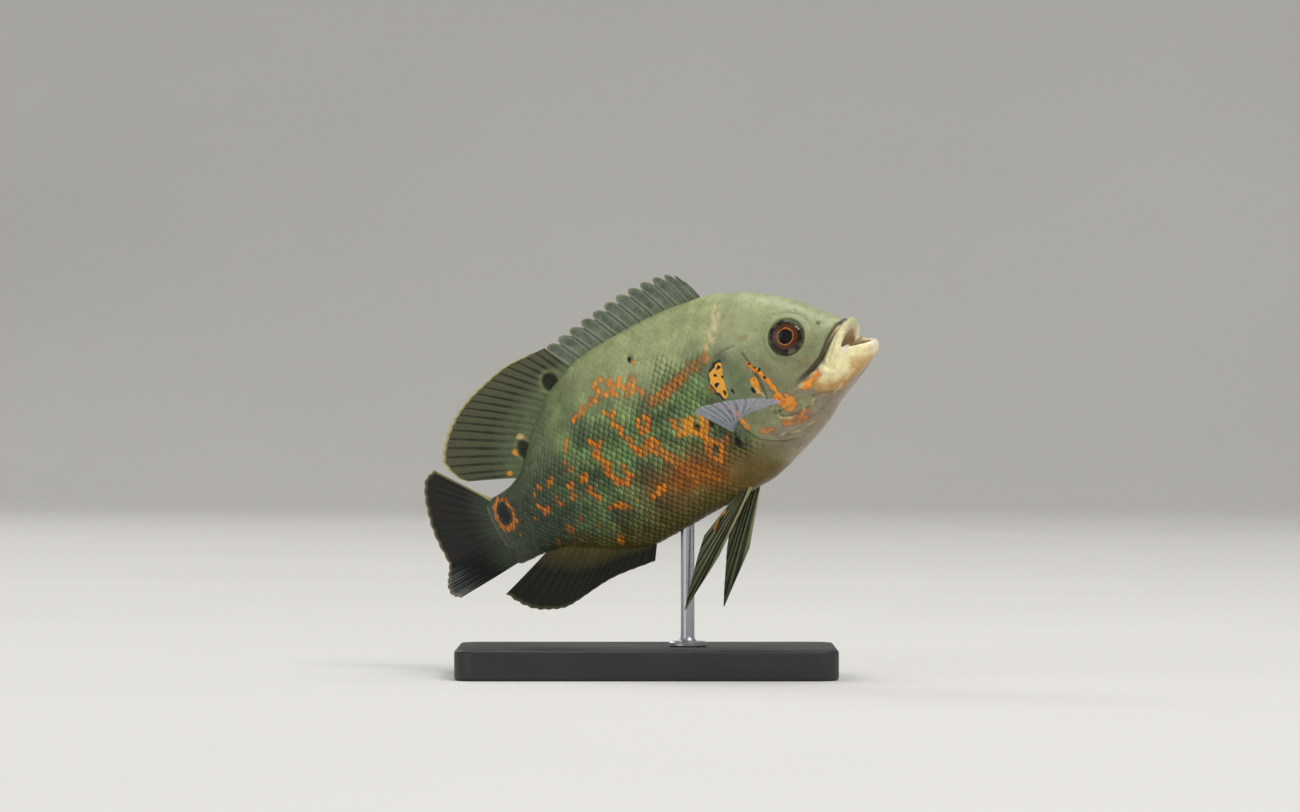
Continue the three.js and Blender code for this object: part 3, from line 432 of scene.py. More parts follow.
GILL_EDGE = [(29.6, 14.5), (33.1, 14.6), (36.6, 13.3), (39.4, 10.8), (40.2, 7.3), (39.4, 3.6), (38.3, -0.8),
             (37.6, -5.5), (35.8, -9.4), (32, -12.6), (27.2, -14.6), (22.3, -13.6), (17, -10.9)]
GILL_PLATE = CHEEK_EDGE + GILL_EDGE[::-1]
# The lower jaw's outline, whose last two corners lie beyond the keel
JAW = [
    (-4, 1), (0.6, -1.2), (4.6, 0), (7.6, -0.6), (9.6, -1.5), (21, -3.2), (15, -9.6), (12.8, -40), (-4, -40),
]
THROAT_FOLDS = (
    [(14.6, -9.4), (19.4, -11.2), (24.6, -11.0)],
    [(13.4, -10.4), (18.6, -12.8), (24.8, -13.4), (29.4, -12.4)],
    [(12.0, -8.6), (15.4, -6.9), (20.2, -6.2)],
)
PORES = (
    (11.2, 4.4), (13.4, 3.4), (16.2, 3.2), (19.0, 4.2), (21.0, 6.4), (26.2, -0.2), (26.6, -3.4), (25.2, -6.4),
    (21.4, -7.4), (9.4, 7.2), (12.4, 15.2), (17.4, 16.8), (22.6, 15.4),
)
EYE = {"s": 16.0, "up": 10.0, "radius": 4.75, "rim": 5.25}
NOSTRIL = {"s": 7.8, "up": 9.4}
SMALLEST_REACH = 4


def markings(s, up, side, blur):
    """Masks of the pigments at points of one flank, with blurred edges: orange, ink, pale and gold."""
    seed, shift = (RIGHT_SEED, 0) if side < 0 else (LEFT_SEED, LEFT_SHIFT)
    x = s + WAVER * grain(s, up, WAVER_SIZE, seed) + shift * grain(s, up, SHIFT_SIZE, 60)
    y = unrolled(s, up) + WAVER * grain(s, up, WAVER_SIZE, seed + 1) + shift * grain(s, up, SHIFT_SIZE, 61)
    core, rim = 1 - 0.3 * blur, 1.2 + 0.4 * blur
    spots = [(depth, cx, unrolled(cx, cy), size, size) for cx, cy, size, depth in ORANGE_SPOTS]
    orange = flecks(x, y, spots, core, rim)
    for width, depth, path in ORANGE_STROKES:
        orange = np.maximum(orange, depth * smooth(from_line(x, y, path), rim * width, core * width))
    orange *= 1 - 0.45 * blur * smooth(grain(s, up, 0.8, seed + 2), 0.0, 0.8)
    spot = on_flank(GILL_SPOT)
    within = depth_inside(x, y, spot, spot + spot[:1])
    gold = smooth(within, -0.15, 0.25)
    for depth, middle, spread in YELLOWER:
        gold = np.maximum(gold, depth * orange * oval(s, up, middle, spread))
    dots = [(1, cx, unrolled(cx, cy), wide, high) for cx, cy, wide, high in INK_SPOTS]
    ink = flecks(x, y, dots, 0.75, 1.2)
    from_rim = path_distance(x, y, spot[SPOT_RIM])
    rim_start, rim_full = np.where(within > 0, 0.3, 0.65), np.where(within > 0, 0.05, 0.25)
    ink = np.maximum(ink, 0.97 * smooth(from_rim, rim_start, rim_full))
    pale = np.zeros_like(s)
    for width, depth, path in PALE_STREAKS:
        broken = depth * smooth(grain(s, up, 1.0, 5), -0.35, 0.35)
        pale = np.maximum(pale, broken * smooth(from_line(x, y, path), 1.3 * width, 0.3 * width))
    return orange, ink, pale, gold


def body_share(s, up):
    """How far a point is from the midline to the back (1) or to the belly (-1)."""
    reach = np.where(up > 0, back_line(s), -belly_line(s))
    return up / np.maximum(reach, SMALLEST_REACH)


# Areas where scales lie flat and hardly show, as (most, ramps, ovals): back, breast, nape, belly and keel
FLAT_AREAS = (
    (0.97, [("share", 0.32, 0.68, 0), ("s", 100, 80, 0.5)], []),
    (0.95, [("up", -8, -14, 0), ("s", 58, 44, 0)], []),
    (0.97, [("nape", 52, 27, 0)], []),
    (0.68, [], [(1, (57, -13), (10, 6))]),
    (0.45, [("share", -0.7, -1, 0)], []),
)
# Colours laid over the flank's own, in turn, as (colour, most, ramps, ovals)
AREAS = (
    ("flank_light", 1, [("patches", -0.6, 0.7, 0), ("s", 100, 76, 0.4)], []),
    ("flank_light", 0.95, [("patches", -0.6, 0.7, 0.37)], [(1, (50, 5), (10, 8))]),
    ("rear", 1, [("s", 80, 108, 0)], []),
    ("back", 1, [("share", 0.25, 0.8, 0), ("s", 86, 60, 0.3), ("s", 108, 90, 0)], []),
    ("belly", 1, [("share", -0.4, -0.95, 0), ("s", 112, 96, 0)], []),
    ("wash", 0.85, [], [(1.18, (60, -9), (11, 5.5)), (0.82, (50, -13), (7, 4))]),
    ("breast", 1, [("up", -7, -13, 0), ("s", 56, 42, 0)], []),
    ("cheek", 1, [("head", 44, 30, 0), ("share", 0.8, 0.2, 0)], []),
    ("brow", 1, [("head", 44, 30, 0), ("share", 0.2, 0.8, 0)], []),
    ("gill", 0.75, [], [(1, (33, 7), (5.5, 8))]),
    # Painted shade: above the gill cover, and in the pit behind the pectoral fin's base
    ("dusk", 0.55, [], [(1, (33.5, 14.6), (2.6, 2.2))]),
    ("dusk", 0.7, [], [(1, (43, -4.2), (2.2, 3.4))]),
    ("throat", 1, [("up", -7.5, -11, 0), ("s", 37, 30, 0)], []),
)


def area_mask(measures, ramps, ovals=(), factors=()):
    """Mask of an area: the product of its ramps, as (measure, start, full, least), of the sum of its ovals,
    as (depth, middle, spread), and of the measures that its factors name.
    """
    mask = np.ones_like(measures["s"])
    for name, start, full, least in ramps:
        mask = mask * mixed(least, 1, smooth(measures[name], start, full))
    for name in factors:
        mask = mask * measures[name]
    if ovals:
        place = measures["s"], measures["up"]
        humps = [depth * oval(*place, middle, spread) for depth, middle, spread in ovals]
        mask = mask * np.minimum(sum(humps), 1)
    return mask


def smoothness(s, up):
    """How flat scales lie, from 0 to nearly 1."""
    measures = {
        "s": s,
        "up": up,
        "share": body_share(s, up) + 0.12 * grain(s, up, 7, 14),
        "nape": s - 0.5 * (up - 8) + 2.5 * grain(s, up, 6, 15),
    }
    return np.max([most * area_mask(measures, ramps, ovals) for most, ramps, ovals in FLAT_AREAS], axis=0)


def laid(ground, colours, name, mask):
    """The ground, turned into a named colour where the mask is 1."""
    return ground + (np.array(getattr(colours, name)) - ground) * np.clip(mask, 0, 1)[..., None]


def ground_colour(s, up, colours):
    """The skin's colour at points of the flank, without its marks, with painted shade above and behind the
    gill cover.
    """
    x, y = (value + 1.6 * grain(s, up, 6, seed) for value, seed in ((s, 8), (up, 9)))
    measures = {
        "s": x,
        "up": y,
        "share": body_share(x, y),
        "head": x + 0.35 * np.maximum(y - 6, 0) + 0.25 * np.maximum(-2 - y, 0),
        "patches": grain(s, up, 5.5, 12) + 0.6 * grain(s, up, 2.4, 13),
    }
    colour = np.array(colours.flank) + 0 * s[..., None]
    for name, most, ramps, ovals in AREAS:
        colour = laid(colour, colours, name, most * area_mask(measures, ramps, ovals))
    mottle = 1 + 0.13 * grain(s, up, 3.2, 15) + 0.08 * grain(s, up, 1.3, 16)
    return colour * mottle[..., None]


# Meshes and materials


def circle(steps):
    """Angles evenly spaced round a full turn."""
    return np.linspace(0, 2 * math.pi, steps, endpoint=False)


def grid_faces(columns, rows, around=False):
    """Quads of a grid of columns by rows faces, numbered column by column, closed round if around."""
    i, j = np.meshgrid(np.arange(columns), np.arange(rows), indexing="ij")
    high = (rows + 1) if not around else rows
    a = i * high + j
    d = i * high + (j + 1) % high
    return np.stack([a, a + high, d + high, d], -1).reshape(-1, 4)


def sheet_faces(columns, rows):
    """Quads of a closed sheet: the front grid, the back grid and the strip round their edge."""
    high = rows + 1
    half = (columns + 1) * high
    front = grid_faces(columns, rows)
    edge = [i * high for i in range(columns)] + [columns * high + j for j in range(rows)]
    edge += [i * high + rows for i in range(columns, 0, -1)] + [j for j in range(rows, 0, -1)]
    edge = np.array(edge)
    following = np.roll(edge, -1)
    strip = np.stack([following, edge, edge + half, following + half], -1)
    return np.concatenate([front, front[:, ::-1] + half, strip])


def mesh_piece(name, points, faces, values=None):
    """A smooth-shaded mesh object from points in metres, with values as point attributes."""
    mesh = bpy.data.meshes.new(name)
    corners = faces.tolist() if isinstance(faces, np.ndarray) else [tuple(face) for face in faces]
    mesh.from_pydata(np.asarray(points).reshape(-1, 3).tolist(), [], corners)
    mesh.validate()
    mesh.shade_smooth()
    write_values(mesh, values or {})
    piece = bpy.data.objects.new(name, mesh)
    bpy.context.scene.collection.objects.link(piece)
    return piece


def closed_piece(name, points, faces, values=None):
    """A closed mesh object from points in the fish's own millimetres, with its faces turned outward."""
    piece = mesh_piece(name, to_scene(points), faces, values)
    outward(piece)
    return piece


def write_values(mesh, values):
    for name, value in values.items():
        value = np.asarray(value, float)
        if value.ndim == 1:
            mesh.attributes.new(name, "FLOAT", "POINT").data.foreach_set("value", value.astype(np.float32))
        else:
            padded = np.ones((len(value), 4), np.float32)
            padded[:, : value.shape[1]] = value
            mesh.attributes.new(name, "FLOAT_COLOR", "POINT").data.foreach_set("color", padded.ravel())


def set_patches(mesh, places):
    """The map that keeps each small part's colours in a patch of its own."""
    corners = np.empty(len(mesh.loops), np.int32)
    mesh.loops.foreach_get("vertex_index", corners)
    layer = mesh.uv_layers.new(name="OFBake")
    layer.uv.foreach_set("vector", places[corners].astype(np.float32).ravel())


def set_sharp(mesh, at_rim):
    """Keeps the shading of the edges between rim points from rounding."""
    ends = np.empty(len(mesh.edges) * 2, np.int32)
    mesh.edges.foreach_get("vertices", ends)
    sharp = at_rim[ends.reshape(-1, 2)].all(axis=1)
    mesh.attributes.new("sharp_edge", "BOOLEAN", "EDGE").data.foreach_set("value", sharp)


def vectors_of(items, name):
    """One vector for each item, as of a mesh's vertices."""
    vectors = np.empty(len(items) * 3)
    items.foreach_get(name, vectors)
    return vectors.reshape(-1, 3)


def finish_piece(piece, material, slot, *nodes):
    piece.data.materials.clear()
    piece.data.materials.append(material)
    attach(piece, "root")
    if nodes:
        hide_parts(*nodes)


def with_modifier(piece, kind, **settings):
    """Applies one modifier to a piece."""
    made = piece.modifiers.new(kind.title(), kind)
    for key, value in settings.items():
        setattr(made, key, value)
    evaluated = piece.evaluated_get(bpy.context.evaluated_depsgraph_get())
    mesh = bpy.data.meshes.new_from_object(evaluated)
    piece.modifiers.clear()
    old, piece.data = piece.data, mesh
    bpy.data.meshes.remove(old)


def outward(piece):
    """Turns a closed mesh's faces outward."""
    bm = bmesh.new()
    bm.from_mesh(piece.data)
    bmesh.ops.recalc_face_normals(bm, faces=bm.faces)
    bm.to_mesh(piece.data)
    bm.free()


def closed_loft(rings):
    """Points and faces of a closed body through rings of equally many points."""
    rings = np.asarray(rings)
    sections, count = rings.shape[:2]
    faces = [tuple(face) for face in grid_faces(sections - 1, count, around=True).tolist()]
    last = (sections - 1) * count
    faces.append(tuple(range(count - 1, -1, -1)))
    faces.append(tuple(last + j for j in range(count)))
    return rings.reshape(-1, 3), faces


def give(tree, node, inputs):
    """Puts values or other nodes' outputs on a node's inputs."""
    for key, value in inputs.items():
        if isinstance(value, bpy.types.NodeSocket):
            tree.links.new(value, node.inputs[key])
        else:
            node.inputs[key].default_value = value


def add_node(tree, kind, inputs=None, **settings):
    """A shader node with its settings, and with values or other nodes' outputs on its inputs."""
    made = tree.nodes.new(kind)
    for key, value in settings.items():
        setattr(made, key, value)
    give(tree, made, inputs or {})
    return made


def read_value(tree, name, output="Fac"):
    return add_node(tree, "ShaderNodeAttribute", attribute_name=name).outputs[output]


def read_marks(tree):
    """The four masks painted on a piece."""
    marks = add_node(tree, "ShaderNodeAttribute", attribute_name="marks")
    parts = add_node(tree, "ShaderNodeSeparateColor", {0: marks.outputs["Color"]})
    return *parts.outputs[:3], marks.outputs["Alpha"]


def tint(tree, mask, below, above):
    """The colour below, turned into the colour above where the mask is 1."""
    made = add_node(tree, "ShaderNodeMix", {0: mask, 6: below, 7: above}, data_type="RGBA")
    return made.outputs[2]


def shade(tree, colour, factor):
    """A colour made darker or lighter by a factor."""
    start = colour[:3] if isinstance(colour, tuple) else colour
    made = add_node(tree, "ShaderNodeVectorMath", {0: start, "Scale": factor}, operation="SCALE")
    return made.outputs[0]


def ranged(tree, value, from_low, from_high, to_low=0.0, to_high=1.0):
    inputs = {0: value, 1: from_low, 2: from_high, 3: to_low, 4: to_high}
    return add_node(tree, "ShaderNodeMapRange", inputs).outputs[0]


NOISE_RANGE = (0.3, 0.7)
SPECK_RANGE = (0.25, 0.75)
SPECK_SIZE = 0.0006


def noise(tree, size, detail=3.0, place=None):
    """Noise with blobs of a size in metres."""
    where = place or add_node(tree, "ShaderNodeTexCoord").outputs["Object"]
    inputs = {"Vector": where, "Scale": 1 / size, "Detail": detail}
    return add_node(tree, "ShaderNodeTexNoise", inputs).outputs[0]


def maths(tree, operation, a, b=0.0):
    return add_node(tree, "ShaderNodeMath", {0: a, 1: b}, operation=operation).outputs[0]


def new_material(name):
    material = bpy.data.materials.new(name)
    material.use_nodes = True
    tree = material.node_tree
    return material, tree, tree.nodes["Principled BSDF"]


def set_bump(tree, shader, height, distance, strength=1.0):
    bump = add_node(tree, "ShaderNodeBump", {"Height": height, "Distance": distance, "Strength": strength})
    tree.links.new(bump.outputs[0], shader.inputs["Normal"])


def rgba(colour):
    return (*colour[:3], 1.0)


def add_sockets(group, in_out, **kinds):
    for name, kind in kinds.items():
        group.interface.new_socket(name, in_out=in_out, socket_type=f"NodeSocket{kind}")


def pigment_group(colours):
    """Shader node group: the fish's colour from its painted masks, for skin and for scales with dark rims."""
    found = bpy.data.node_groups.get("fish_pigment")
    if found:
        return found
    group = bpy.data.node_groups.new("fish_pigment", "ShaderNodeTree")
    add_sockets(group, "INPUT", Tone="Float", Rim="Float", Gleam="Float")
    add_sockets(group, "OUTPUT", Colour="Color", Roughness="Float")
    given = group.nodes.new("NodeGroupInput").outputs
    result = group.nodes.new("NodeGroupOutput")
    orange, ink, pale, gold = read_marks(group)
    specks = noise(group, SPECK_SIZE, 4.0)
    blotches = noise(group, 0.0021)

    def speckled(colour, darkest, lightest):
        return shade(group, colour, ranged(group, specks, *SPECK_RANGE, darkest, lightest))

    ground = speckled(read_value(group, "ground", "Color"), 0.87, 1.13)
    ground = shade(group, ground, ranged(group, blotches, *NOISE_RANGE, 0.9, 1.1))
    ground = shade(group, ground, given["Tone"])
    # A painted highlight: the middle of each standing scale lightened by its gleam
    ground = shade(group, ground, ranged(group, given["Rim"], 0.0, 0.5, given["Gleam"], 1.0))
    # Dark rims: the scales' dark margins, with painted shade over each scale's root
    ground = tint(group, given["Rim"], ground, shade(group, ground, 0.28))
    deep = rgba(colours.orange_deep)
    glow = tint(group, ranged(group, blotches, 0.3, 0.52), deep, rgba(colours.orange))
    # Orange scales get the same dark margins and painted root shade
    glow = speckled(tint(group, given["Rim"], glow, shade(group, deep, 0.38)), 0.85, 1.15)
    rust = tint(group, 0.5, ground, rgba(colours.rust))
    colour = tint(group, ranged(group, orange, 0.1, 0.5), ground, rust)
    colour = tint(group, ranged(group, orange, 0.45, 0.9), colour, glow)
    colour = tint(group, gold, colour, speckled(rgba(colours.gold), 0.85, 1.1))
    colour = tint(group, pale, colour, rgba(colours.pale))
    colour = tint(group, ink, colour, rgba(colours.ink))
    give(group, result, {"Colour": colour, "Roughness": ranged(group, specks, *NOISE_RANGE, 0.34, 0.5)})
    return group


def fish_material(name, colours, pigment, finish):
    """A material with the fish's colours, from values for the pigment group and for the shader."""
    material, tree, shader = new_material(name)
    group = add_node(tree, "ShaderNodeGroup", node_tree=pigment_group(colours))
    for key, value in pigment.items():
        give(tree, group, {key: read_value(tree, value) if isinstance(value, str) else value})
    made = {"Base Color": group.outputs["Colour"], "Roughness": group.outputs["Roughness"]}
    give(tree, shader, {**made, **finish})
    return material, tree, shader


SKIN_FINISH = {
    "Coat Weight": 0.18,
    "Coat Roughness": 0.22,
    "Specular IOR Level": 0.35,
    "Subsurface Weight": 0.05,
    "Subsurface Radius": (0.8, 0.5, 0.3),
    "Subsurface Scale": 0.001,
}
SCALE_FINISH = {"Coat Weight": 0.12, "Coat Roughness": 0.24, "Specular IOR Level": 0.22}
GROWTH_RINGS = 60.0


def skin_material(colours):
    plain = {"Tone": 1.0, "Rim": 0.0, "Gleam": 1.0}
    material, tree, shader = fish_material("fish_skin", colours, plain, SKIN_FINISH)
    set_bump(tree, shader, noise(tree, SPECK_SIZE), 0.00007)
    return material


def scale_material(colours):
    painted = {"Tone": "tone", "Rim": "rim", "Gleam": "gleam"}
    material, tree, shader = fish_material("fish_scales", colours, painted, SCALE_FINISH)
    rings = maths(tree, "SINE", maths(tree, "MULTIPLY", read_value(tree, "growth"), GROWTH_RINGS))
    set_bump(tree, shader, rings, 0.00002, 0.5)
    return material


# Skin


GAPE = [
    (-8, 14), (0.4, 14), (1, 4.9), (3.1, 3.2), (5.6, 0.6), (7.6, -0.9), (9.4, -1.7), (7, -1.5), (4.6, -0.5),
    (2.6, -0.7), (0.6, -1.5), (-1, -2.1), (-8, -2),
]
# Ovals across the throat, the tongue and a mouth corner's fold, as (s, left, up, half height, half width)
THROAT = [
    (-1, 0, 0.4, 3.6, 4.2), (2.5, 0, 0.5, 3.4, 4.9), (6, 0, 0, 2.9, 5.4), (10, 0, -0.8, 2, 4.6),
    (14, 0, -1.4, 1.2, 3), (16.5, 0, -1.7, 0.5, 1.2),
]
TONGUE = [
    (3.2, 0, -2.6, 0.3, 0.9), (4.2, 0, -2.1, 0.8, 2), (6.2, 0, -1.7, 1, 2.6), (9, 0, -1.8, 1, 2.6),
    (12, 0, -2.2, 0.8, 2), (14.5, 0, -2.6, 0.5, 1.2),
]
MOUTH_FOLD = [
    (2.5, 5.3, 0.6, 0.15, 0.105), (3.1, 5.6, 0.5, 0.55, 0.385), (4.2, 6, 0.2, 0.85, 0.595),
    (5.4, 6.3, -0.1, 0.7, 0.49), (6.2, 6.5, -0.4, 0.2, 0.14),
]
UPPER_LIP = [(2, 0, 5.4), (2.5, 2.7, 5.1), (3.6, 5.3, 3.8), (5.2, 6.7, 2), (6.9, 7.2, 0.3), (8.3, 7.5, -0.8)]
LOWER_LIP = [
    (-1.4, 0, -2.3), (-0.8, 2.1, -2.1), (0.7, 3.8, -1.6), (2.6, 5, -0.9), (4.6, 5.9, -0.6), (6.5, 6.7, -1.6),
    (7.8, 7.2, -3.1), (9.3, 7.6, -3.9), (10.7, 7.9, -2.9), (11.2, 7.9, -1.6),
]
UPPER_LIP_SIZE = ((0.5, 0.7), (0.55, 0.85))
LOWER_LIP_SIZE = ((0.42, 0.5), (0.5, 0.5))
LIP_ROUNDS = 6
CUTTER_HALF_WIDTH = 20.0
RING_STEP, RING_POINTS = 0.6, 180


def body_loft(grow):
    s = np.arange(SNOUT_START, TAIL_END + RING_STEP / 2, RING_STEP)
    rings = body_point(s[:, None], circle(RING_POINTS)[None, :], grow)
    return closed_loft(rings[:, ::-1])


def gape_cutter():
    """A prism through the whole head in the outline of the open mouth."""
    triangles = tessellate_polygon([[Vector((-s, up, 0)) for s, up in GAPE]])
    count = len(GAPE)
    points = np.array([fish_point(s, side * CUTTER_HALF_WIDTH, up) for side in (1, -1) for s, up in GAPE])
    faces = [tuple(t) for t in triangles] + [tuple(count + i for i in reversed(t)) for t in triangles]
    faces += [(i, (i + 1) % count, count + (i + 1) % count, count + i) for i in range(count)]
    return points, faces


def oval_loft(ovals, sides, side=1):
    """A body through upright ovals, mirrored from the left to the right for side -1."""
    angles = circle(sides)
    rings = [
        fish_point(s, side * (left + wide * np.cos(angles)), up + high * np.sin(angles))
        for s, left, up, high, wide in ovals
    ]
    return closed_loft(np.array(rings)[:, ::-1])


def unit(vectors):
    return vectors / np.linalg.norm(vectors, axis=-1, keepdims=True)


def soft_rod(path, size, plane, steps=90, sides=18):
    """A lip: an elliptic rod along a path of (s, left, up), mirrored from the left to the right."""
    whole = [(s, -left, up) for s, left, up in reversed(path[1:])] + path
    knots = np.array([fish_point(*p) for p in whole])
    reach = np.concatenate([[0], np.cumsum(np.linalg.norm(np.diff(knots, axis=0), axis=1))])
    t = np.linspace(0, 1, steps)
    centre = np.stack([curve_through(*zip(reach / reach[-1], knots[:, k]))(t) for k in range(3)], -1)
    for _ in range(LIP_ROUNDS):
        centre[1:-1] = (centre[:-2] + 2 * centre[1:-1] + centre[2:]) / 4
    tangent = unit(np.gradient(centre, axis=0))
    across = unit(np.cross(plane, tangent))
    deep = np.cross(across, tangent)
    full = np.sqrt(np.sin(math.pi * np.clip(t, 0.05, 0.95)))[:, None, None]
    angle = circle(sides)[None, :, None]
    (corner_thick, corner_deep), (more_thick, more_deep) = size
    rings = centre[:, None] + across[:, None] * (corner_thick + more_thick * full) * np.cos(angle)
    return closed_loft(rings + deep[:, None] * (corner_deep + more_deep * full) * np.sin(angle))


def refine(mesh, chosen):
    """Halves each edge between two chosen points of a mesh."""
    bm = bmesh.new()
    bm.from_mesh(mesh)
    edges = [e for e in bm.edges if chosen[e.verts[0].index] and chosen[e.verts[1].index]]
    bmesh.ops.subdivide_edges(bm, edges=edges, cuts=1, use_grid_fill=True)
    bm.to_mesh(mesh)
    bm.free()


# Ramps of the relief: beside the middle, at the mouth's side, on the throat's folds and under the jaw
BESIDE = [("aside", 0.3, 0.5, 0), ("keel", 0.94, 0.7, 0.1)]
MOUTH_SIDE = [*BESIDE, ("s", 22, 12, 0)]
AT_FOLDS = [("left", 0.8, 3.2, 0), ("keel", 0.95, 0.72, 0)]
UNDER_JAW = [("keel", 0.45, 0.8, 0), ("s", 0.5, 4, 0), ("s", 19, 12, 0)]
GILL_RISE = [
    ("in_gill", -0.12, 0.25, 0), ("gill_edge", 7, 0, 0.278), ("s", 27, 36, 0.12), ("up", 14, 11, 0.2),
    ("cheek_edge", 0, 4, 0),
]
# Forms of the relief, as (height, ramps, ovals, ridge), a ridge being (measure, half width, middle)
FORMS = (
    (-1.15, MOUTH_SIDE, [], ("groove", 0.6, 0)),
    (0.23, MOUTH_SIDE, [], ("below_groove", 0.8, 0)),
    (0.9, [*BESIDE, *GILL_RISE], [], None),
    (-0.35, BESIDE, [], ("cheek_edge", 0.4, 0)),
    (0.18, [*BESIDE, ("s", 28.8, 27, 0)], [], ("cheek_edge", 0.5, 0.9)),
    (0.1, BESIDE, [], ("pore", 0.25, 0.6)),
    (-0.3, BESIDE, [], ("pore", 0.32, 0)),
    (0.45, BESIDE, [(1, (21.5, 2), (4.5, 4.5))], None),
    (-0.35, BESIDE, [(1, (10.5, 6.4), (2, 2.2))], None),
    (0.5, UNDER_JAW, [], ("aside", 0.2, 0.6)),
    (-0.45, UNDER_JAW, [], ("aside", 0.28, 0)),
)
# Rings of the relief about the eye and the nostril, as (height, half width, radius)
ORBIT_RINGS = ((0.72, 0.55, EYE["rim"]), (-0.16, 0.5, 6.6))
NOSTRIL_RING = (0.28, 0.28, 0.85)
SOCKET_DEPTH, SOCKET_RIM, SOCKET_REACH = 1.3, (4.7, 4.1), 6
NOSTRIL_DEPTH, NOSTRIL_RIM = 0.9, (0.62, 0.25)
FOLD_RIDGES = ((-0.22, 0.5, 0), (0.08, 0.6, 1.1))
BELOW_GROOVE = [(s + 0.5, up + 1.1) for s, up in MAXILLA_GROOVE]


def ridges(x, *forms):
    """The sum of ridges over a measure, as (height, half width, middle)."""
    return sum(height * bell(x, width, middle) for height, width, middle in forms)


def flank_measures(s, left, up):
    """What the head's relief and colours are laid by: places, shares and distances from the flank's lines."""
    arc = unrolled(s, up)
    return {
        "s": s,
        "up": up,
        "left": np.abs(left),
        "aside": np.abs(left) / half_width(s),
        "keel": -body_share(s, up),
        "groove": from_line(s, arc, MAXILLA_GROOVE),
        "cheek_edge": from_line(s, arc, CHEEK_EDGE),
        "gill_edge": from_line(s, arc, GILL_EDGE),
        "in_gill": depth_inside(s, arc, on_flank(GILL_PLATE), on_flank(GILL_EDGE)),
        "folds": [from_line(s, arc, fold) for fold in THROAT_FOLDS],
    }


def flank_relief(s, left, up, points):
    """How far the skin stands out of or into the plain body, in millimetres."""
    relief = np.zeros_like(s)
    for side in (1, -1):
        offset = points - flank_point(EYE["s"], EYE["up"], side)
        axis = flank_normal(EYE["s"], EYE["up"], side)
        height = offset @ axis
        out = np.linalg.norm(offset - height[:, None] * axis, axis=1)
        orbit = ridges(out, *ORBIT_RINGS) - SOCKET_DEPTH * smooth(out, *SOCKET_RIM)
        away = np.linalg.norm(points - flank_point(NOSTRIL["s"], NOSTRIL["up"], side), axis=1)
        nostril = ridges(away, NOSTRIL_RING) - NOSTRIL_DEPTH * smooth(away, *NOSTRIL_RIM)
        relief += (left * side > 0) * (np.where(np.abs(height) < SOCKET_REACH, orbit, 0) + nostril)
    measures = flank_measures(s, left, up)
    arc = unrolled(s, up)
    measures["below_groove"] = from_line(s, arc, BELOW_GROOVE)
    measures["pore"] = np.min([np.hypot(s - ps, arc - unrolled(ps, pu)) for ps, pu in PORES], axis=0)
    for height, ramps, ovals, ridge in FORMS:
        form = height * area_mask(measures, ramps, ovals)
        relief += form * bell(measures[ridge[0]], *ridge[1:]) if ridge else form
    at_folds = area_mask(measures, AT_FOLDS)
    for away in measures["folds"]:
        relief += at_folds * ridges(away, *FOLD_RIDGES)
    return relief + 0.07 * grain(s, up, 2.4, 21) + 0.04 * grain(s, up, 1.0, 22)


def lip_distance(points, path):
    """Distance in space to the middle of a lip, of either side."""
    best = np.full(len(points), FAR_AWAY)
    for side in (1, -1):
        knots = [fish_point(s, side * left, up) for s, left, up in path]
        for start, end in zip(knots[:-1], knots[1:]):
            way = end - start
            t = np.clip((points - start) @ way / (way @ way), 0, 1)
            best = np.minimum(best, np.linalg.norm(points - start - t[:, None] * way, axis=1))
    return best


# The jaw's corners that lie on the flank, the part of its outline that borders other skin, and its soft edge
JAW_ON_FLANK, JAW_BORDER, JAW_FADE = 7, slice(2, 8), (-2.2, 1.6)
UNDER_LIP = (("jaw", 0.9, [("chin", 0.8, 5, 0)]), ("throat", 1, [("chin", 3.2, 8, 0)]))
MOUTH_END, MOUTH_ROOM, LINING_FADE = 18, 1.6, (0.9, 1.8)
SNOUT_TIP, TONGUE_UP = -1.2, -1.2
ON_TONGUE = [("left", 3, 2.2, 0), ("off_tongue", 1.6, 0.9, 0), ("s", 2.5, 4, 0), ("s", 14, 10, 0)]
# Colours laid over the head's skin in turn, as (colour, most, factors, ramps)
HEAD_AREAS = (
    ("lip", 1, ["lips"], []),
    ("brow", 0.6, [], [("above_lip", 1.8, 1.3, 0), ("left", 6.6, 3.4, 0)]),
    ("jaw", 0.32, [], [("below_lip", 1.9, 1.2, 0), ("s", 2.6, -0.4, 0), ("up", -2.39, -2.41, 0)]),
    # A painted highlight: the lower lip's tip turned toward the pale tongue colour
    ("tongue", 0.7, ["lips"], [("from_tip", 3.8, 1.5, 0), ("up", 2.01, 1.99, 0)]),
    ("mouth", 1, ["lining"], []),
    # Painted shade: the lining darkens deeper inside the mouth
    ("gullet_shade", 1, ["lining"], [("s", 6, 13, 0)]),
    ("tongue", 1, ["lining"], ON_TONGUE),
    ("tongue", 0.85, [], [("mouth_fold", 1.5, 0.5, 0)]),
    # Painted shade in the groove behind the upper jaw, behind the gill cover's edge and along the cheek's
    # edge
    ("shadow", 0.9, ["outside"], [("groove", 0.95, 0.2, 0), ("s", 22, 14, 0)]),
    ("shadow", 0.6, ["behind"], [("gill_edge", 0.7, 0.1, 0), ("s", 20, 32, 0)]),
    ("shadow", 0.4, [], [("cheek_edge", 0.5, 0.1, 0)]),
)
FOLD_SHADE, FOLD_FADE = 0.3, (0.5, 0.1)


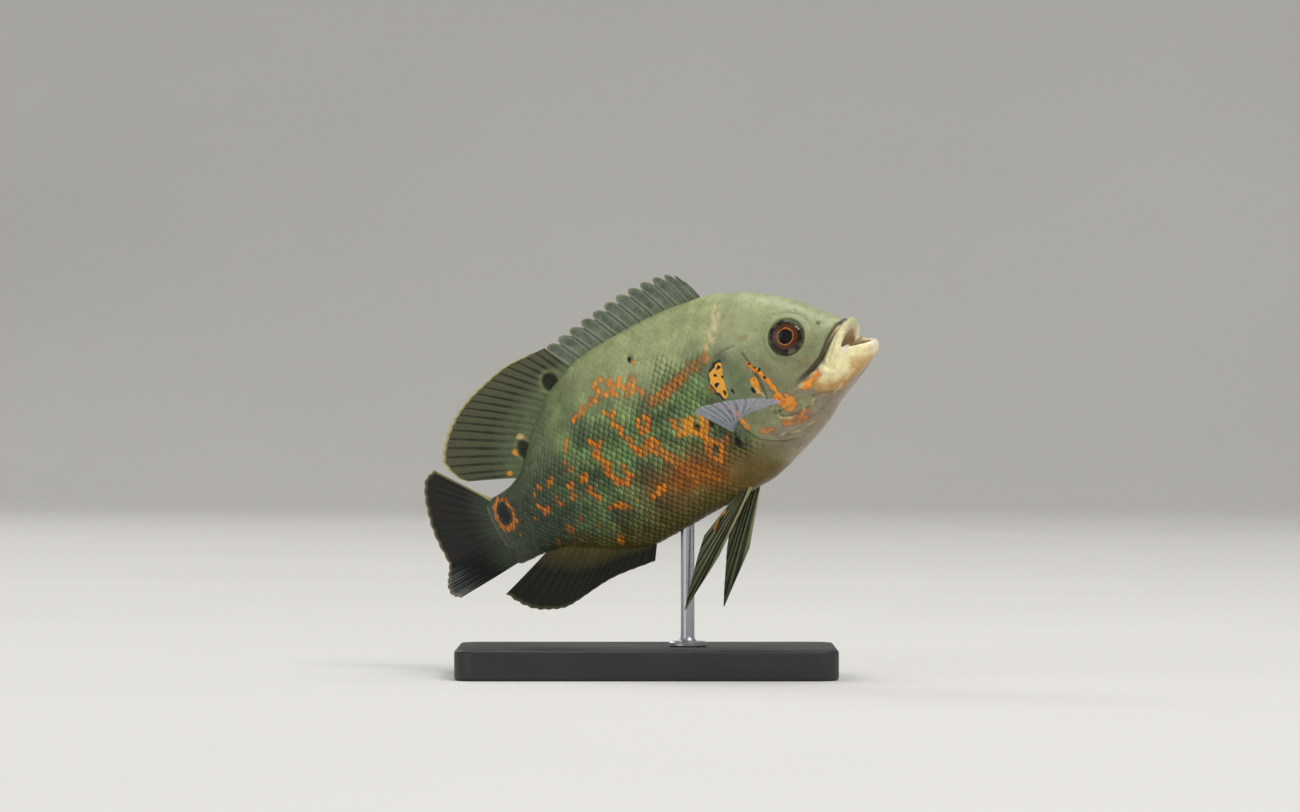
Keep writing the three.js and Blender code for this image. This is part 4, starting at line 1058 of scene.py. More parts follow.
def lip_masks(plain, s, up):
    """Distances from both lips, the lips' mask and the distance over the chin with uneven steps."""
    above_lip, below_lip = lip_distance(plain, UPPER_LIP), lip_distance(plain, LOWER_LIP)
    uneven = 0.8 * grain(s, up, 2.6, 18) + 0.4 * grain(s, up, 1.0, 19)
    edge = 1.8 + 1.3 * smooth(-up, 0, 2.5)
    upper = smooth(above_lip + 0.3 * uneven * (up < 0), edge, 1.3)
    lips = np.maximum(upper, smooth(below_lip + 0.4 * uneven, 1.9, 0.7))
    return {"above_lip": above_lip, "below_lip": below_lip, "lips": lips, "chin": below_lip + 1.3 * uneven}


def skin_values(points, colours):
    """The painted colours and masks of points in metres."""
    s, left, up = to_fish(points)
    marks = np.zeros((len(s), 4))
    for side in (1, -1):
        mine = left * side > 0
        marks[mine] = np.stack(markings(s[mine], up[mine], side, 1.0), -1)
    ground = ground_colour(s, up, colours)
    arc = unrolled(s, up)
    measures = flank_measures(s, left, up)
    measures.update(lip_masks(fish_point(s, left, up), s, up))
    jaw = on_flank(JAW[:JAW_ON_FLANK]) + JAW[JAW_ON_FLANK:]
    on_jaw = smooth(depth_inside(s, arc, jaw, jaw[JAW_BORDER]) + 0.8 * grain(s, arc, 3, 16), *JAW_FADE)
    chin = np.array(colours.lip) + 0 * ground
    for name, most, ramps in UNDER_LIP:
        chin = laid(chin, colours, name, most * area_mask(measures, ramps))
    ground = mixed(ground, chin, on_jaw[:, None])
    deep = half_at(s, flank_angle(s, up)) - measures["left"]
    roomy = (s < MOUTH_END) & (up > belly_line(s) + MOUTH_ROOM) & (up < back_line(s) - MOUTH_ROOM)
    lining = smooth(deep, *LINING_FADE) * roomy
    fold_s, fold_left, fold_up = MOUTH_FOLD[len(MOUTH_FOLD) // 2][:3]
    measures.update(
        lining=lining,
        outside=1 - lining,
        behind=measures["in_gill"] <= 0,
        from_tip=np.hypot(s - SNOUT_TIP, left),
        off_tongue=np.abs(up - TONGUE_UP),
        mouth_fold=np.linalg.norm([s - fold_s, measures["left"] - fold_left, up - fold_up], axis=0),
    )
    for name, most, factors, ramps in HEAD_AREAS:
        ground = laid(ground, colours, name, most * area_mask(measures, ramps, factors=factors))
    at_folds = area_mask(measures, AT_FOLDS)
    for away in measures["folds"]:
        ground = laid(ground, colours, "shadow", FOLD_SHADE * at_folds * smooth(away, *FOLD_FADE))
    marks[:, :2] *= ((1 - lining) * (1 - measures["lips"]))[:, None]
    return {"marks": marks, "ground": ground}


LIP_PLANE = np.array([math.cos(HEAD_TURN), -math.sin(HEAD_TURN), 0.75])
FINE_S, FINE_UP, FINE_LEFT = (24, 40.5), (0.5, 13.2), 4


class OSCAR_OT_skin(bpy.types.Operator):
    """Skin of the head, body and tail in one piece, with lips, mouth, orbits, nostrils and gill covers"""

    bl_idname = "oscar.skin"
    bl_label = "Skin"

    def execute(self, context):
        sizes, colours = context.scene.oscar_sizes, context.scene.oscar_colours
        body = closed_piece("body", *body_loft(-sizes.skin_depth / MM))
        for name, cut in (("gape_space", gape_cutter()), ("throat_space", oval_loft(THROAT, 40))):
            cutter = closed_piece(name, *cut)
            with_modifier(body, "BOOLEAN", operation="DIFFERENCE", object=cutter, solver="MANIFOLD")
            bpy.data.objects.remove(cutter)
        added = (
            soft_rod(UPPER_LIP, UPPER_LIP_SIZE, LIP_PLANE), soft_rod(LOWER_LIP, LOWER_LIP_SIZE, (0, 0, 1)),
            oval_loft(TONGUE, 32), oval_loft(MOUTH_FOLD, 24, 1), oval_loft(MOUTH_FOLD, 24, -1),
        )
        points, faces = [], []
        for part in [body] + [closed_piece("mouth_part", *loft) for loft in added]:
            start = sum(map(len, points))
            points.append(vectors_of(part.data.vertices, "co"))
            faces += [tuple(start + i for i in p.vertices) for p in part.data.polygons]
            bpy.data.objects.remove(part)
        skin = mesh_piece("skin", np.concatenate(points), faces)
        with_modifier(skin, "REMESH", mode="VOXEL", voxel_size=sizes.skin_grain, use_smooth_shade=True)
        with_modifier(skin, "SMOOTH", factor=0.5, iterations=4)
        s, left, up = to_fish(vectors_of(skin.data.vertices, "co"))
        fine = (s > FINE_S[0]) & (s < FINE_S[1]) & (up > FINE_UP[0]) & (up < FINE_UP[1])
        refine(skin.data, fine & (np.abs(left) > FINE_LEFT))
        places = vectors_of(skin.data.vertices, "co")
        s, left, up = to_fish(places)
        relief = flank_relief(s, left, up, fish_point(s, left, up)) * MM
        raised = places + vectors_of(skin.data.vertex_normals, "vector") * relief[:, None]
        skin.data.vertices.foreach_set("co", raised.ravel())
        skin.data.update()
        skin.data.shade_smooth()
        write_values(skin.data, skin_values(raised, colours))
        finish_piece(
            skin, skin_material(colours), "skin",
            "head", "torso", "tail", "lower_jaw", "upper_lip", "gill_cover_left", "gill_cover_right",
        )
        return {"FINISHED"}


# Scales


SCALE_COLUMNS, SCALE_ROWS = 6, 5
UNWRAP_SPAN, PATCH_SIZE = 110.0, 0.004
PORE_LINES = (
    [(40, 16.2), (48, 18.8), (60, 20), (72, 18.6), (86, 13.6)],
    [(84, 3.0), (96, 2.4), (108, 1.2), (121, 0.6)],
)
PORE_REACH = 0.62
SCALED_FROM = [(22.0, 40), (23.4, 22), (29.0, 15.2)] + GILL_EDGE[1:]
UNSCALED = [(-5, 40), *SCALED_FROM, (10, -14), (-5, -30)]
FIRST_BODY_SCALE, LAST_BODY_SCALE = 21.0, TAIL_END - 1.5
FIRST_CHEEK_SCALE, LAST_CHEEK_SCALE = 17.5, 39.0
CHEEK_SCALE, CHEEK_FLAT, CHEEK_SHOWN = 0.62, 0.95, 0.8
BEHIND_CHEEK = CHEEK_EDGE + [(18.5, -4), (18.5, 8), (22, 13), (27, 13)]
KEEL_SCALES = -8
# Distances that cheek scales keep from the eye's middle, mouth groove, plate edges, dots and gill spot
CLEAR_OF_EYE, CLEAR_OF_MOUTH, CLEAR_OF_EDGES, CLEAR_OF_DOTS, CLEAR_OF_SPOT = 7.6, 2.4, 1.5, 0.9, 1.2
BREAST_START = 32.0
SCALES_MEET = 71.0
LATTICE_ROWS = np.arange(-30, 32)
BELLY_MARGIN, BACK_MARGIN = 0.6, 0.5


def body_field(s):
    """Scale size along the body."""
    return mixed(0.72, 1.0, smooth(s, 22, 36)) * mixed(1.0, 0.72, smooth(s, 70, 122))


def lattice(spans, first, last, size_at):
    """Places of overlapping scales in staggered rows, as s, length round the flank, size and height."""
    length, spacing = spans
    places = []
    s, odd = first, False
    while s < last:
        size = size_at(s)
        arcs = ARCS[int((s - ARC_STATIONS[0]) / ARC_STEP)]
        rows = (LATTICE_ROWS + odd / 2) * 2 * spacing * size
        kept = rows[(rows > arcs[0] + BELLY_MARGIN) & (rows < arcs[-1] - BACK_MARGIN)]
        places += [(s, arc, size) for arc in kept]
        s += length * size / 2
        odd = not odd
    s, arc, size = np.array(places).T
    return np.array([s, arc, size, up_at(s, angle_at(s, arc))])


def body_scales(spans):
    """Scales behind the nape and gill opening: places, sizes, heights, flatness and share standing out."""
    places = lattice(spans, FIRST_BODY_SCALE, LAST_BODY_SCALE, body_field)
    s, up = places[0], places[3]
    kept = ~inside(s - 0.9, up, UNSCALED) & ((up > 0) | (s > BREAST_START))
    s, arc, size, up = places[:, kept]
    shown = smooth(path_distance(s, up, SCALED_FROM), 0.4, mixed(3.0, 12.0, smooth(up, 12, 20)))
    shown *= np.where(up > 0, 1, smooth(s, BREAST_START, BREAST_START + 9 * smooth(up, -6, -14)))
    return s, arc, size, up, smoothness(s, up), shown


def cheek_scales(spans):
    """Small flat scales of the gill cover and cheek."""
    places = lattice(spans, FIRST_CHEEK_SCALE, LAST_CHEEK_SCALE, lambda s: CHEEK_SCALE)
    s, up = places[0], places[3]
    room = np.minimum(path_distance(s, up, CHEEK_EDGE), path_distance(s, up, GILL_EDGE)) - CLEAR_OF_EDGES
    on_plate = inside(s, up, GILL_PLATE) & (up > KEEL_SCALES)
    from_eye = np.hypot(s - EYE["s"], up - EYE["up"]) - CLEAR_OF_EYE
    from_mouth = path_distance(s, up, MAXILLA_GROOVE) - CLEAR_OF_MOUTH
    room = np.where(on_plate, room, np.min([from_eye, from_mouth, room], axis=0))
    for dot_s, dot_up, wide, high in INK_SPOTS:
        room = np.minimum(room, np.hypot(s - dot_s, up - dot_up) - max(wide, high) - CLEAR_OF_DOTS)
    in_spot = depth_inside(s, up, GILL_SPOT, GILL_SPOT + GILL_SPOT[:1])
    room = np.minimum(room, -in_spot - CLEAR_OF_SPOT)
    kept = (on_plate | inside(s, up, BEHIND_CHEEK)) & (room > 0)
    shown = CHEEK_SHOWN * smooth(room[kept], 0, 2.0)
    return *places[:, kept], np.full(kept.sum(), CHEEK_FLAT), shown


# One scale's grid: places along it from the root to the tip, places across it, and its half width along it
ALONG_STEPS = np.linspace(0, 1, SCALE_COLUMNS + 1)[:, None]
ACROSS_STEPS = np.linspace(-1, 1, SCALE_ROWS + 1)[None, :]
WIDEST_AT, ROOT_WIDTH, TIP_SHARE = 0.42, 0.72, 0.97
OUTLINE = np.where(
    ALONG_STEPS < WIDEST_AT,
    mixed(ROOT_WIDTH, 1.0, ALONG_STEPS / WIDEST_AT),
    np.sqrt(1 - (TIP_SHARE * (ALONG_STEPS - WIDEST_AT) / (1 - WIDEST_AT)) ** 2),
)
ALONG, ACROSS = np.broadcast_arrays(ALONG_STEPS, ACROSS_STEPS * OUTLINE)
AT_RIM = (np.abs(ACROSS) == OUTLINE) | (ALONG == 0) | (ALONG == 1)
PLATE_POINTS = ALONG.size
# How much longer and wider than its field a scale is, and the share of it that lies before its place
SCALE_REACH, SCALE_WIDTH, ROOTED = 1.75, 1.42, 0.62
# Lifts over the skin of a hidden, a standing and a flat scale, and domes and thicknesses of the last two
TIP_LIFTS, ROOT_LIFTS = (-0.1, 0.2, -0.07), (-0.16, -0.2, -0.105)
DOMES, THICKNESSES = (0.07, 0.003), (0.07, 0.025)
LIFT_POWER = 1.3
SHARP_FROM = 0.7
# A pore scale's swelling, as (height, half width, fade), and its dark pore, as (depth, place, spread)
PORE_SWELL, PORE_MARK = (0.09, 0.2, (0.3, 0.7)), (0.7, (0, 0.9), (0.16, 0.09))
# How far behind its place a scale's marks are taken, their blur, and its points' own share of colours
MARKS_BEHIND, MARKS_BLUR, POINT_MARKS, POINT_GROUND = 0.22, 0.5, 0.45, 0.3
# An orange spot on a scale: its middle, half length and width, fade, and strength with spread and range
SPOT_AT, SPOT_HALVES, SPOT_FADE, SPOT_LEAST = 0.75, (0.27, 0.8), (1.08, 0.78), 0.3
SPOT_STRENGTH, SPOT_SPREAD, SPOT_RANGE = 1.1, 0.2, (0.7, 1)
# Spreads of hue and tone from scale to scale, of a standing and a flat one
HUE_SPREADS, TONE_SPREADS, TONE_RANGE = (0.07, 0.008), (0.15, 0.022), (0.7, 1.35)
HUE_CHANNELS = np.array([1, 0.4, 1])
# Fades of each scale's dark margin at its tip and sides, and of the painted shade over its root, which lies
# under and just behind the edge of the scale before it
RIM_FADE, SIDE_FADE, SIDE_START, ROOT_SHADE_FADE = (0.72, 0.98), (0.35, 0.9), (0.3, 0.6), (0.6, 0.34)
# Strength of the painted shade over a scale's root, the loss of contrast on flat scales, and the painted
# highlight in a scale's middle
ROOT_SHADE, FLAT_LOSS, GLEAM = 0.85, 0.86, 0.28
GROWTH_MIDDLE, GROWTH_FLATNESS = 0.3, 0.5


def each(values):
    """Values of scales, ready to vary over each one's grid."""
    return values[:, None, None]


def lifted(lifts, flat, shown):
    hidden, standing, lying = lifts
    return each(mixed(hidden, mixed(standing, lying, flat), shown))


def scale_shape(spans, side, random, s0, arc0, size, flat, shown, on_line):
    """Places along and round the flank of the points of scales, and their points above and below."""
    length, spacing = spans

    def varied(amount):
        return amount * random.standard_normal((len(s0), 1, 1))

    reach = SCALE_REACH * length * each(size) * (1 + varied(0.05))
    wide = SCALE_WIDTH * spacing * each(size) * (1 + varied(0.04))
    s = (each(s0) + (ALONG - ROOTED) * reach + varied(0.05)).ravel()
    arc = (each(arc0) + ACROSS * wide + varied(0.04) + varied(0.12) * ALONG).ravel()
    angle = angle_at(s, arc)
    tip_lift, root_lift = lifted(TIP_LIFTS, flat, shown), lifted(ROOT_LIFTS, flat, shown)
    uneven = varied(0.01) * (1 - 0.8 * each(flat))
    lift = root_lift + (tip_lift - root_lift + uneven) * ALONG**LIFT_POWER
    lift -= each(mixed(*DOMES, flat)) * ACROSS**2
    swell, width, fade = PORE_SWELL
    lift += swell * each(on_line) * bell(ACROSS, width) * smooth(ALONG, *fade)
    turned = angle if side > 0 else math.pi - angle
    up = up_at(s, angle)
    lift = lift.ravel() + flank_relief(s, side * half_at(s, angle), up, body_point(s, turned))
    thick = mixed(*THICKNESSES, flat).repeat(PLATE_POINTS)
    layers = [body_point(s, turned, grow).reshape(-1, PLATE_POINTS, 3) for grow in (lift, lift - thick)]
    return s, up, np.stack(layers, 1).reshape(-1, 3)


def scale_values(spans, side, random, colours, s0, arc0, size, up0, flat, shown, on_line, s, up, spotted):
    """Colours, masks and map places of the points of scales."""
    count = len(s0)
    marked_at = s0 + MARKS_BEHIND * spans[0] * size
    marks = np.stack(markings(marked_at, up0, side, MARKS_BLUR), -1).repeat(PLATE_POINTS, 0)
    marks = mixed(marks, np.stack(markings(s, up, side, MARKS_BLUR), -1), POINT_MARKS if spotted else 1.0)
    if spotted:
        off_middle = np.hypot((ALONG - SPOT_AT) / SPOT_HALVES[0], ACROSS / SPOT_HALVES[1])
        strength = (SPOT_STRENGTH + SPOT_SPREAD * random.standard_normal((count, 1))).clip(*SPOT_RANGE)
        shape = mixed(SPOT_LEAST, 1, smooth(off_middle, *SPOT_FADE)).ravel()
        marks[:, [0, 3]] *= (strength * shape).reshape(-1, 1)
    ground = ground_colour(s0, up0, colours).repeat(PLATE_POINTS, 0)
    ground = mixed(ground, ground_colour(s, up, colours), POINT_GROUND)
    hue = 1 + mixed(*HUE_SPREADS, flat)[:, None] * random.standard_normal((count, 3)) * HUE_CHANNELS
    tone = (1 + mixed(*TONE_SPREADS, flat) * random.standard_normal(count)).clip(*TONE_RANGE)
    sides = smooth(np.abs(ACROSS_STEPS) ** 3, *SIDE_FADE) * smooth(ALONG, *SIDE_START)
    rim = np.maximum(smooth(ALONG, *RIM_FADE), sides)
    contrast = (1 - FLAT_LOSS * flat) * shown
    # Dark margins at the tip and sides, and painted shade over the root under the scale before it, faint on
    # flat or hidden scales
    rim_and_root_shade = np.maximum(rim, ROOT_SHADE * smooth(ALONG, *ROOT_SHADE_FADE)) * each(contrast)
    pore_depth, pore_at, pore_spread = PORE_MARK
    pore = pore_depth * each(on_line) * oval(ACROSS, ALONG, pore_at, pore_spread)
    growth = np.hypot(ALONG - GROWTH_MIDDLE, GROWTH_FLATNESS * ACROSS)
    patch = [
        (each(s0) - ARC_STATIONS[0]) / UNWRAP_SPAN + PATCH_SIZE * (ALONG - 0.5),
        each(arc0) / UNWRAP_SPAN + 0.5 + PATCH_SIZE * ACROSS / 2,
    ]
    values = {
        "marks": marks,
        "ground": ground * hue.repeat(PLATE_POINTS, 0),
        # Dark margins, painted shade over the root and dark pores
        "rim": np.maximum(rim_and_root_shade, pore),
        "tone": tone.repeat(PLATE_POINTS),
        # Painted highlight in the middle of standing scales
        "gleam": (1 + GLEAM * contrast).repeat(PLATE_POINTS),
        "sharp": AT_RIM & each(flat > SHARP_FROM),
        "growth": np.broadcast_to(growth, (count, *ALONG.shape)),
        "patch": np.stack(patch, -1),
    }
    for key, value in values.items():
        both_faces = np.stack([value.reshape(count, PLATE_POINTS, -1)] * 2, 1)
        values[key] = both_faces.reshape(count * 2 * PLATE_POINTS, -1).squeeze()
    return values


def scale_plates(sizes, colours, side, random, places_at, first, last):
    """Overlapping scales of one flank: points, faces and values."""
    spans = (sizes.scale_length / MM, sizes.scale_spacing / MM)
    places = places_at(spans)
    chosen = (places[0] >= first) & (places[0] < last)
    s0, arc0, size, up0, flat, shown = (part[chosen] for part in places)
    on_line = np.min([path_distance(s0, up0, line) for line in PORE_LINES], axis=0) < PORE_REACH
    s, up, points = scale_shape(spans, side, random, s0, arc0, size, flat, shown, on_line)
    spotted = places_at is body_scales
    values = scale_values(
        spans, side, random, colours, s0, arc0, size, up0, flat, shown, on_line, s, up, spotted
    )
    one = sheet_faces(SCALE_COLUMNS, SCALE_ROWS)
    one = one if side > 0 else one[:, ::-1]
    faces = (one[None] + each(np.arange(len(s0)) * 2 * PLATE_POINTS)).reshape(-1, 4)
    return points, faces, values


SCALE_PIECES = (
    ("cheek_scales", cheek_scales, 0, SCALES_MEET),
    ("front_scales", body_scales, 0, SCALES_MEET),
    ("rear_scales", body_scales, SCALES_MEET, TAIL_END),
)
SIDES = (("left", 1), ("right", -1))


class OSCAR_OT_scales(bpy.types.Operator):
    """Scales of both flanks, from the cheeks and nape to the root of the tail fin"""

    bl_idname = "oscar.scales"
    bl_label = "Scales"

    def execute(self, context):
        sizes, colours = context.scene.oscar_sizes, context.scene.oscar_colours
        material = scale_material(colours)
        random = np.random.default_rng(5)
        for name, places_at, first, last in SCALE_PIECES:
            for side_name, side in SIDES:
                points, faces, values = scale_plates(sizes, colours, side, random, places_at, first, last)
                patch, sharp = values.pop("patch"), values.pop("sharp")
                piece = mesh_piece(f"{name}_{side_name}", to_scene(points), faces, values)
                set_patches(piece.data, patch)
                set_sharp(piece.data, sharp)
                finish_piece(piece, material, "skin")
        return {"FINISHED"}


# Eyes


EYE_SIDES = 72
# Profiles of the eye as (radius, height over the flank): the back, the edge and the pupil
EYE_BACK = [(0.02, -3.4), (2.85, -2.9), (4.37, -1.4), (EYE["radius"], 0.0)]
EYE_EDGE = [(4.72, 0.2), (4.58, 0.55), (4.36, 0.86), (4.15, 1.0)]
PUPIL = [(1.84, 1.24), (1.78, 1.12), (1.4, 1.02), (0.7, 1.0), (0.02, 1.0)]
IRIS_RADII, IRIS_START, IRIS_SPAN, IRIS_FOOT, IRIS_RISE = np.linspace(4.0, 1.9, 18), 4.05, 2.15, 1.02, 0.26
CORNEA_RADIUS, CORNEA_FOOT, CORNEA_RISE = 4.66, 0.22, 1.64
CORNEA_TURNS = np.linspace(0.05, math.pi / 2 - 0.01, 20)
# The eye's rings as (share of its radius, colour)
EYE_RINGS = (
    (0.40, "pupil"), (0.415, "amber"), (0.46, "amber"), (0.505, "amber_dark"), (0.60, "amber_dark"),
    (0.65, "rust"), (0.70, "iris"), (0.82, "iris"), (0.88, "orbit_dark"), (0.95, "orbit_dark"),
)


def eye_profile():
    turns = (IRIS_START - IRIS_RADII) / IRIS_SPAN * math.pi / 2
    return EYE_BACK + EYE_EDGE + list(zip(IRIS_RADII, IRIS_FOOT + IRIS_RISE * np.sin(turns))) + PUPIL


def cornea_profile():
    dome = [(CORNEA_RADIUS * math.cos(t), CORNEA_FOOT + CORNEA_RISE * math.sin(t)) for t in CORNEA_TURNS]
    return [(4.5, 0.1)] + dome


def lathe_on_eye(profile, side):
    """A lathe about the flank's normal at the eye, from (radius, height) pairs, closed at both ends."""
    normal = flank_normal(EYE["s"], EYE["up"], side)
    middle = flank_point(EYE["s"], EYE["up"], side)
    first = unit(np.cross(np.array([0.0, 0.0, 1.0]), normal))
    second = np.cross(normal, first)
    angle = circle(EYE_SIDES)[:, None]
    ring = np.cos(angle) * first + np.sin(angle) * second
    return closed_loft([middle + r * ring + h * normal for r, h in profile])


def eye_material(colours):
    material, tree, shader = new_material("fish_eye")
    out = read_value(tree, "out")
    streaks, clouds = noise(tree, 0.0005, 4.0), noise(tree, 0.0018, 2.0)
    uneven = maths(tree, "ADD", out, ranged(tree, clouds, *NOISE_RANGE, -0.035, 0.035))
    rings = add_node(tree, "ShaderNodeValToRGB", {0: uneven})
    ramp = rings.color_ramp
    ramp.elements[0].color = rgba(colours.pupil)
    ramp.elements[1].color = rgba(colours.orbit)
    for place, name in EYE_RINGS:
        ramp.elements.new(place).color = rgba(getattr(colours, name))
    olive = maths(tree, "MULTIPLY", ranged(tree, clouds, 0.44, 0.6), ranged(tree, out, 0.66, 0.76))
    colour = tint(tree, olive, rings.outputs[0], rgba(colours.orbit))
    colour = shade(tree, colour, ranged(tree, streaks, *NOISE_RANGE, 0.55, 1.45))
    give(tree, shader, {"Base Color": colour, "Roughness": 0.35, "Specular IOR Level": 0.15})
    set_bump(tree, shader, streaks, 0.00005)
    return material


def cornea_material():
    """Clear cover: what lies under it shows, and only its gloss is added."""
    material, tree, shader = new_material("fish_cornea")
    clear = add_node(tree, "ShaderNodeBsdfTransparent").outputs[0]
    gloss = add_node(tree, "ShaderNodeBsdfGlossy", {"Roughness": 0.03}).outputs[0]
    angle = add_node(tree, "ShaderNodeFresnel", {"IOR": 1.38}).outputs[0]
    both = add_node(tree, "ShaderNodeMixShader", {0: angle, 1: clear, 2: gloss}).outputs[0]
    give(tree, tree.nodes["Material Output"], {"Surface": both})
    tree.nodes.remove(shader)
    return material


class OSCAR_OT_eyes(bpy.types.Operator):
    """Both eyes: a ball with pupil and iris under a clear cornea"""

    bl_idname = "oscar.eyes"
    bl_label = "Eyes"

    def execute(self, context):
        ball, clear = eye_material(context.scene.oscar_colours), cornea_material()
        out = np.array([r / EYE["radius"] for r, _ in eye_profile()]).repeat(EYE_SIDES)
        for name, side in SIDES:
            eye = closed_piece(f"eye_ball_{name}", *lathe_on_eye(eye_profile(), side), {"out": out})
            finish_piece(eye, ball, "eyes", f"eye_{name}")
            cornea = closed_piece(f"cornea_{name}", *lathe_on_eye(cornea_profile(), side))
            finish_piece(cornea, clear, "eyes")
        return {"FINISHED"}


# Fins


def fin_blade(columns, rows, middle_at, thickness_at, reach_at=None, first=0.0):
    """A fin's closed blade: points, faces and its place across the rays and out along them."""
    u, share = np.meshgrid(np.linspace(first, 1, columns + 1), np.linspace(0, 1, rows + 1), indexing="ij")
    v = share * (reach_at(u) if reach_at else 1)
    step = 1e-3
    along = middle_at(np.minimum(u + step, 1), v) - middle_at(np.maximum(u - step, first), v)
    out = middle_at(u, np.minimum(v + step, 1)) - middle_at(u, np.maximum(v - step, 0))
    half = unit(np.cross(along, out)) * thickness_at(u, share)[..., None]
    middle = middle_at(u, v)
    points = np.concatenate([(middle + half).reshape(-1, 3), (middle - half).reshape(-1, 3)])
    return points, sheet_faces(columns, rows), np.tile(u.ravel(), 2), np.tile(share.ravel(), 2)


def off_ray(u, rays):
    """Distance from the nearest ray, in steps from ray to ray."""
    place = u * (rays - 1)
    return np.abs(place - np.round(place))


def ray_profile(u, share, rays, fork):
    """1 on a ray and 0 between rays. A soft ray forks toward its tip."""
    width = mixed(0.24, 0.17, share) if fork else mixed(0.2, 0.1, share)
    return bell(off_ray(u, rays), width, fork * smooth(share, 0.35, 1.0))


def soft_edge(rays, notch):
    """How far out a soft fin's edge lies, a little less between rays."""
    return lambda u: 1 - 2 * notch * off_ray(u, rays)


FIN_STEPS = 12
SPINES, SOFT_RAYS, ANAL_RAYS, TAIL_RAYS, PECTORAL_RAYS, PELVIC_RAYS = 14, 20, 18, 17, 12, 6
FIN_SINK = 2.4
spine_tip = curve_through((0, 37), (1, 38), (2, 40), (3, 42.8), (5, 50.1), (13, 81.3))
spine_height = curve_through((0, 34.6), (1, 36.4), (2, 38.9), (4, 40.5), (6, 40.9), (9, 39.8), (13, 37.9))
spine_lean = curve_through((0, 1.6), (2, 3), (5, 4.4), (13, 4.8))
SOFT_BASE, ANAL_BASE = (77.7, 104.5), (77.9, 105)
soft_tip_back = curve_through(
    (0, 4.4), (0.16, 9.8), (0.32, 14.9), (0.47, 19.2), (0.63, 22.3), (0.84, 25.2), (0.9, 23.4), (0.95, 21),
    (1, 17.9),
)
soft_tip_up = curve_through(
    (0, 38), (0.16, 38.9), (0.35, 37.2), (0.6, 32.8), (0.84, 24.6), (0.9, 21.2), (0.95, 18.6), (1, 16.8),
)
anal_tip_back = curve_through((0, 4), (0.25, 10.4), (0.5, 15.3), (0.75, 18.6), (1, 22.2))
anal_tip_up = curve_through((0, -25.4), (0.25, -24.1), (0.55, -25.2), (0.75, -22.8), (0.9, -18.6), (1, -14.7))
anal_tip_side = curve_through((0, -0.4), (0.3, -1.1), (0.55, -3.7), (0.8, -4.5), (1, -2.5))
TAIL_ROOT_S, TAIL_ROOT_HALF = 119.0, 8.6
tail_tip_back = curve_through(
    (0, 16.5), (0.1, 21.5), (0.2, 25.5), (0.3, 28.3), (0.4, 30.2), (0.5, 31), (0.6, 31), (0.7, 29.8),
    (0.8, 27.5), (0.9, 23.5), (1, 18.5),
)
tail_tip_up = curve_through(
    (0, 23.8), (0.1, 22.9), (0.2, 19.5), (0.3, 14.8), (0.4, 10), (0.5, 4.5), (0.6, -0.6), (0.7, -3.2),
    (0.8, -5.6), (0.9, -8.2), (1, -9.8),
)
tail_tip_side = curve_through((0, 0), (0.58, 0), (0.7, -3), (0.8, -6.5), (0.9, -9.5), (1, -11))
pectoral_length = curve_through((0, 17), (0.15, 20.5), (0.45, 23.5), (0.75, 21), (1, 16))
pelvic_tip_back = curve_through((0, 62.5), (0.2, 78.2), (0.4, 74.5), (0.6, 71.5), (0.8, 68), (1, 63.5))
pelvic_tip_up = curve_through((0, -31.8), (0.2, -40.2), (0.4, -36.2), (0.6, -33.2), (0.8, -29.6), (1, -25.4))
FIN_POWER, ANAL_POWER, SIDE_POWER = 0.92, 1.6, 1.5
SPINE_NOTCH = 0.26
PECTORAL_ROOT, PECTORAL_SINK = ((39.6, -2.0), (41.2, -6.5)), 2.0
PECTORAL_FORWARD, PECTORAL_LIFT, PECTORAL_CURL = (70, -2), (-6, 36), 5
PELVIC_ROOT_S, PELVIC_ROOT_UP, PELVIC_ROOT_SIDE, PELVIC_SPREAD = (46.2, 50.0), -19.2, 3.6, 5
FAR_PELVIC_DROP = math.radians(9)


def spiny_dorsal_middle(u, v):
    spine = u * (SPINES - 1)
    base = spine_tip(spine) - spine_lean(spine)
    root_up = back_line(base) - FIN_SINK
    return straight_point(base, spine_lean(spine) * v**1.2, 0, mixed(root_up, spine_height(spine), v))


def spiny_dorsal_reach(u):
    """The membrane's edge, in a hollow between each spine and the next."""
    spine = u * (SPINES - 1)
    place = 2 * (spine - np.floor(spine + 1e-6)) - 1
    return 1 - SPINE_NOTCH * (1 - np.sqrt(1 - 0.96 * place**2))


def soft_dorsal_middle(u, v):
    base = mixed(*SOFT_BASE, u)
    up = mixed(back_line(base) - FIN_SINK, soft_tip_up(u), v**FIN_POWER)
    return straight_point(base, soft_tip_back(u) * v, 0, up)


def anal_middle(u, v):
    base = mixed(*ANAL_BASE, u)
    up = mixed(belly_line(base) + FIN_SINK, anal_tip_up(u), v**FIN_POWER)
    return straight_point(base, anal_tip_back(u) * v, anal_tip_side(u) * v**ANAL_POWER, up)


def tail_middle(u, v):
    back = mixed(TAIL_ROOT_S - STANDARD_LENGTH, tail_tip_back(u), v)
    up = mixed(mixed(TAIL_ROOT_HALF, -TAIL_ROOT_HALF, u), tail_tip_up(u), v)
    return straight_point(STANDARD_LENGTH, back, tail_tip_side(u) * v**SIDE_POWER, up)


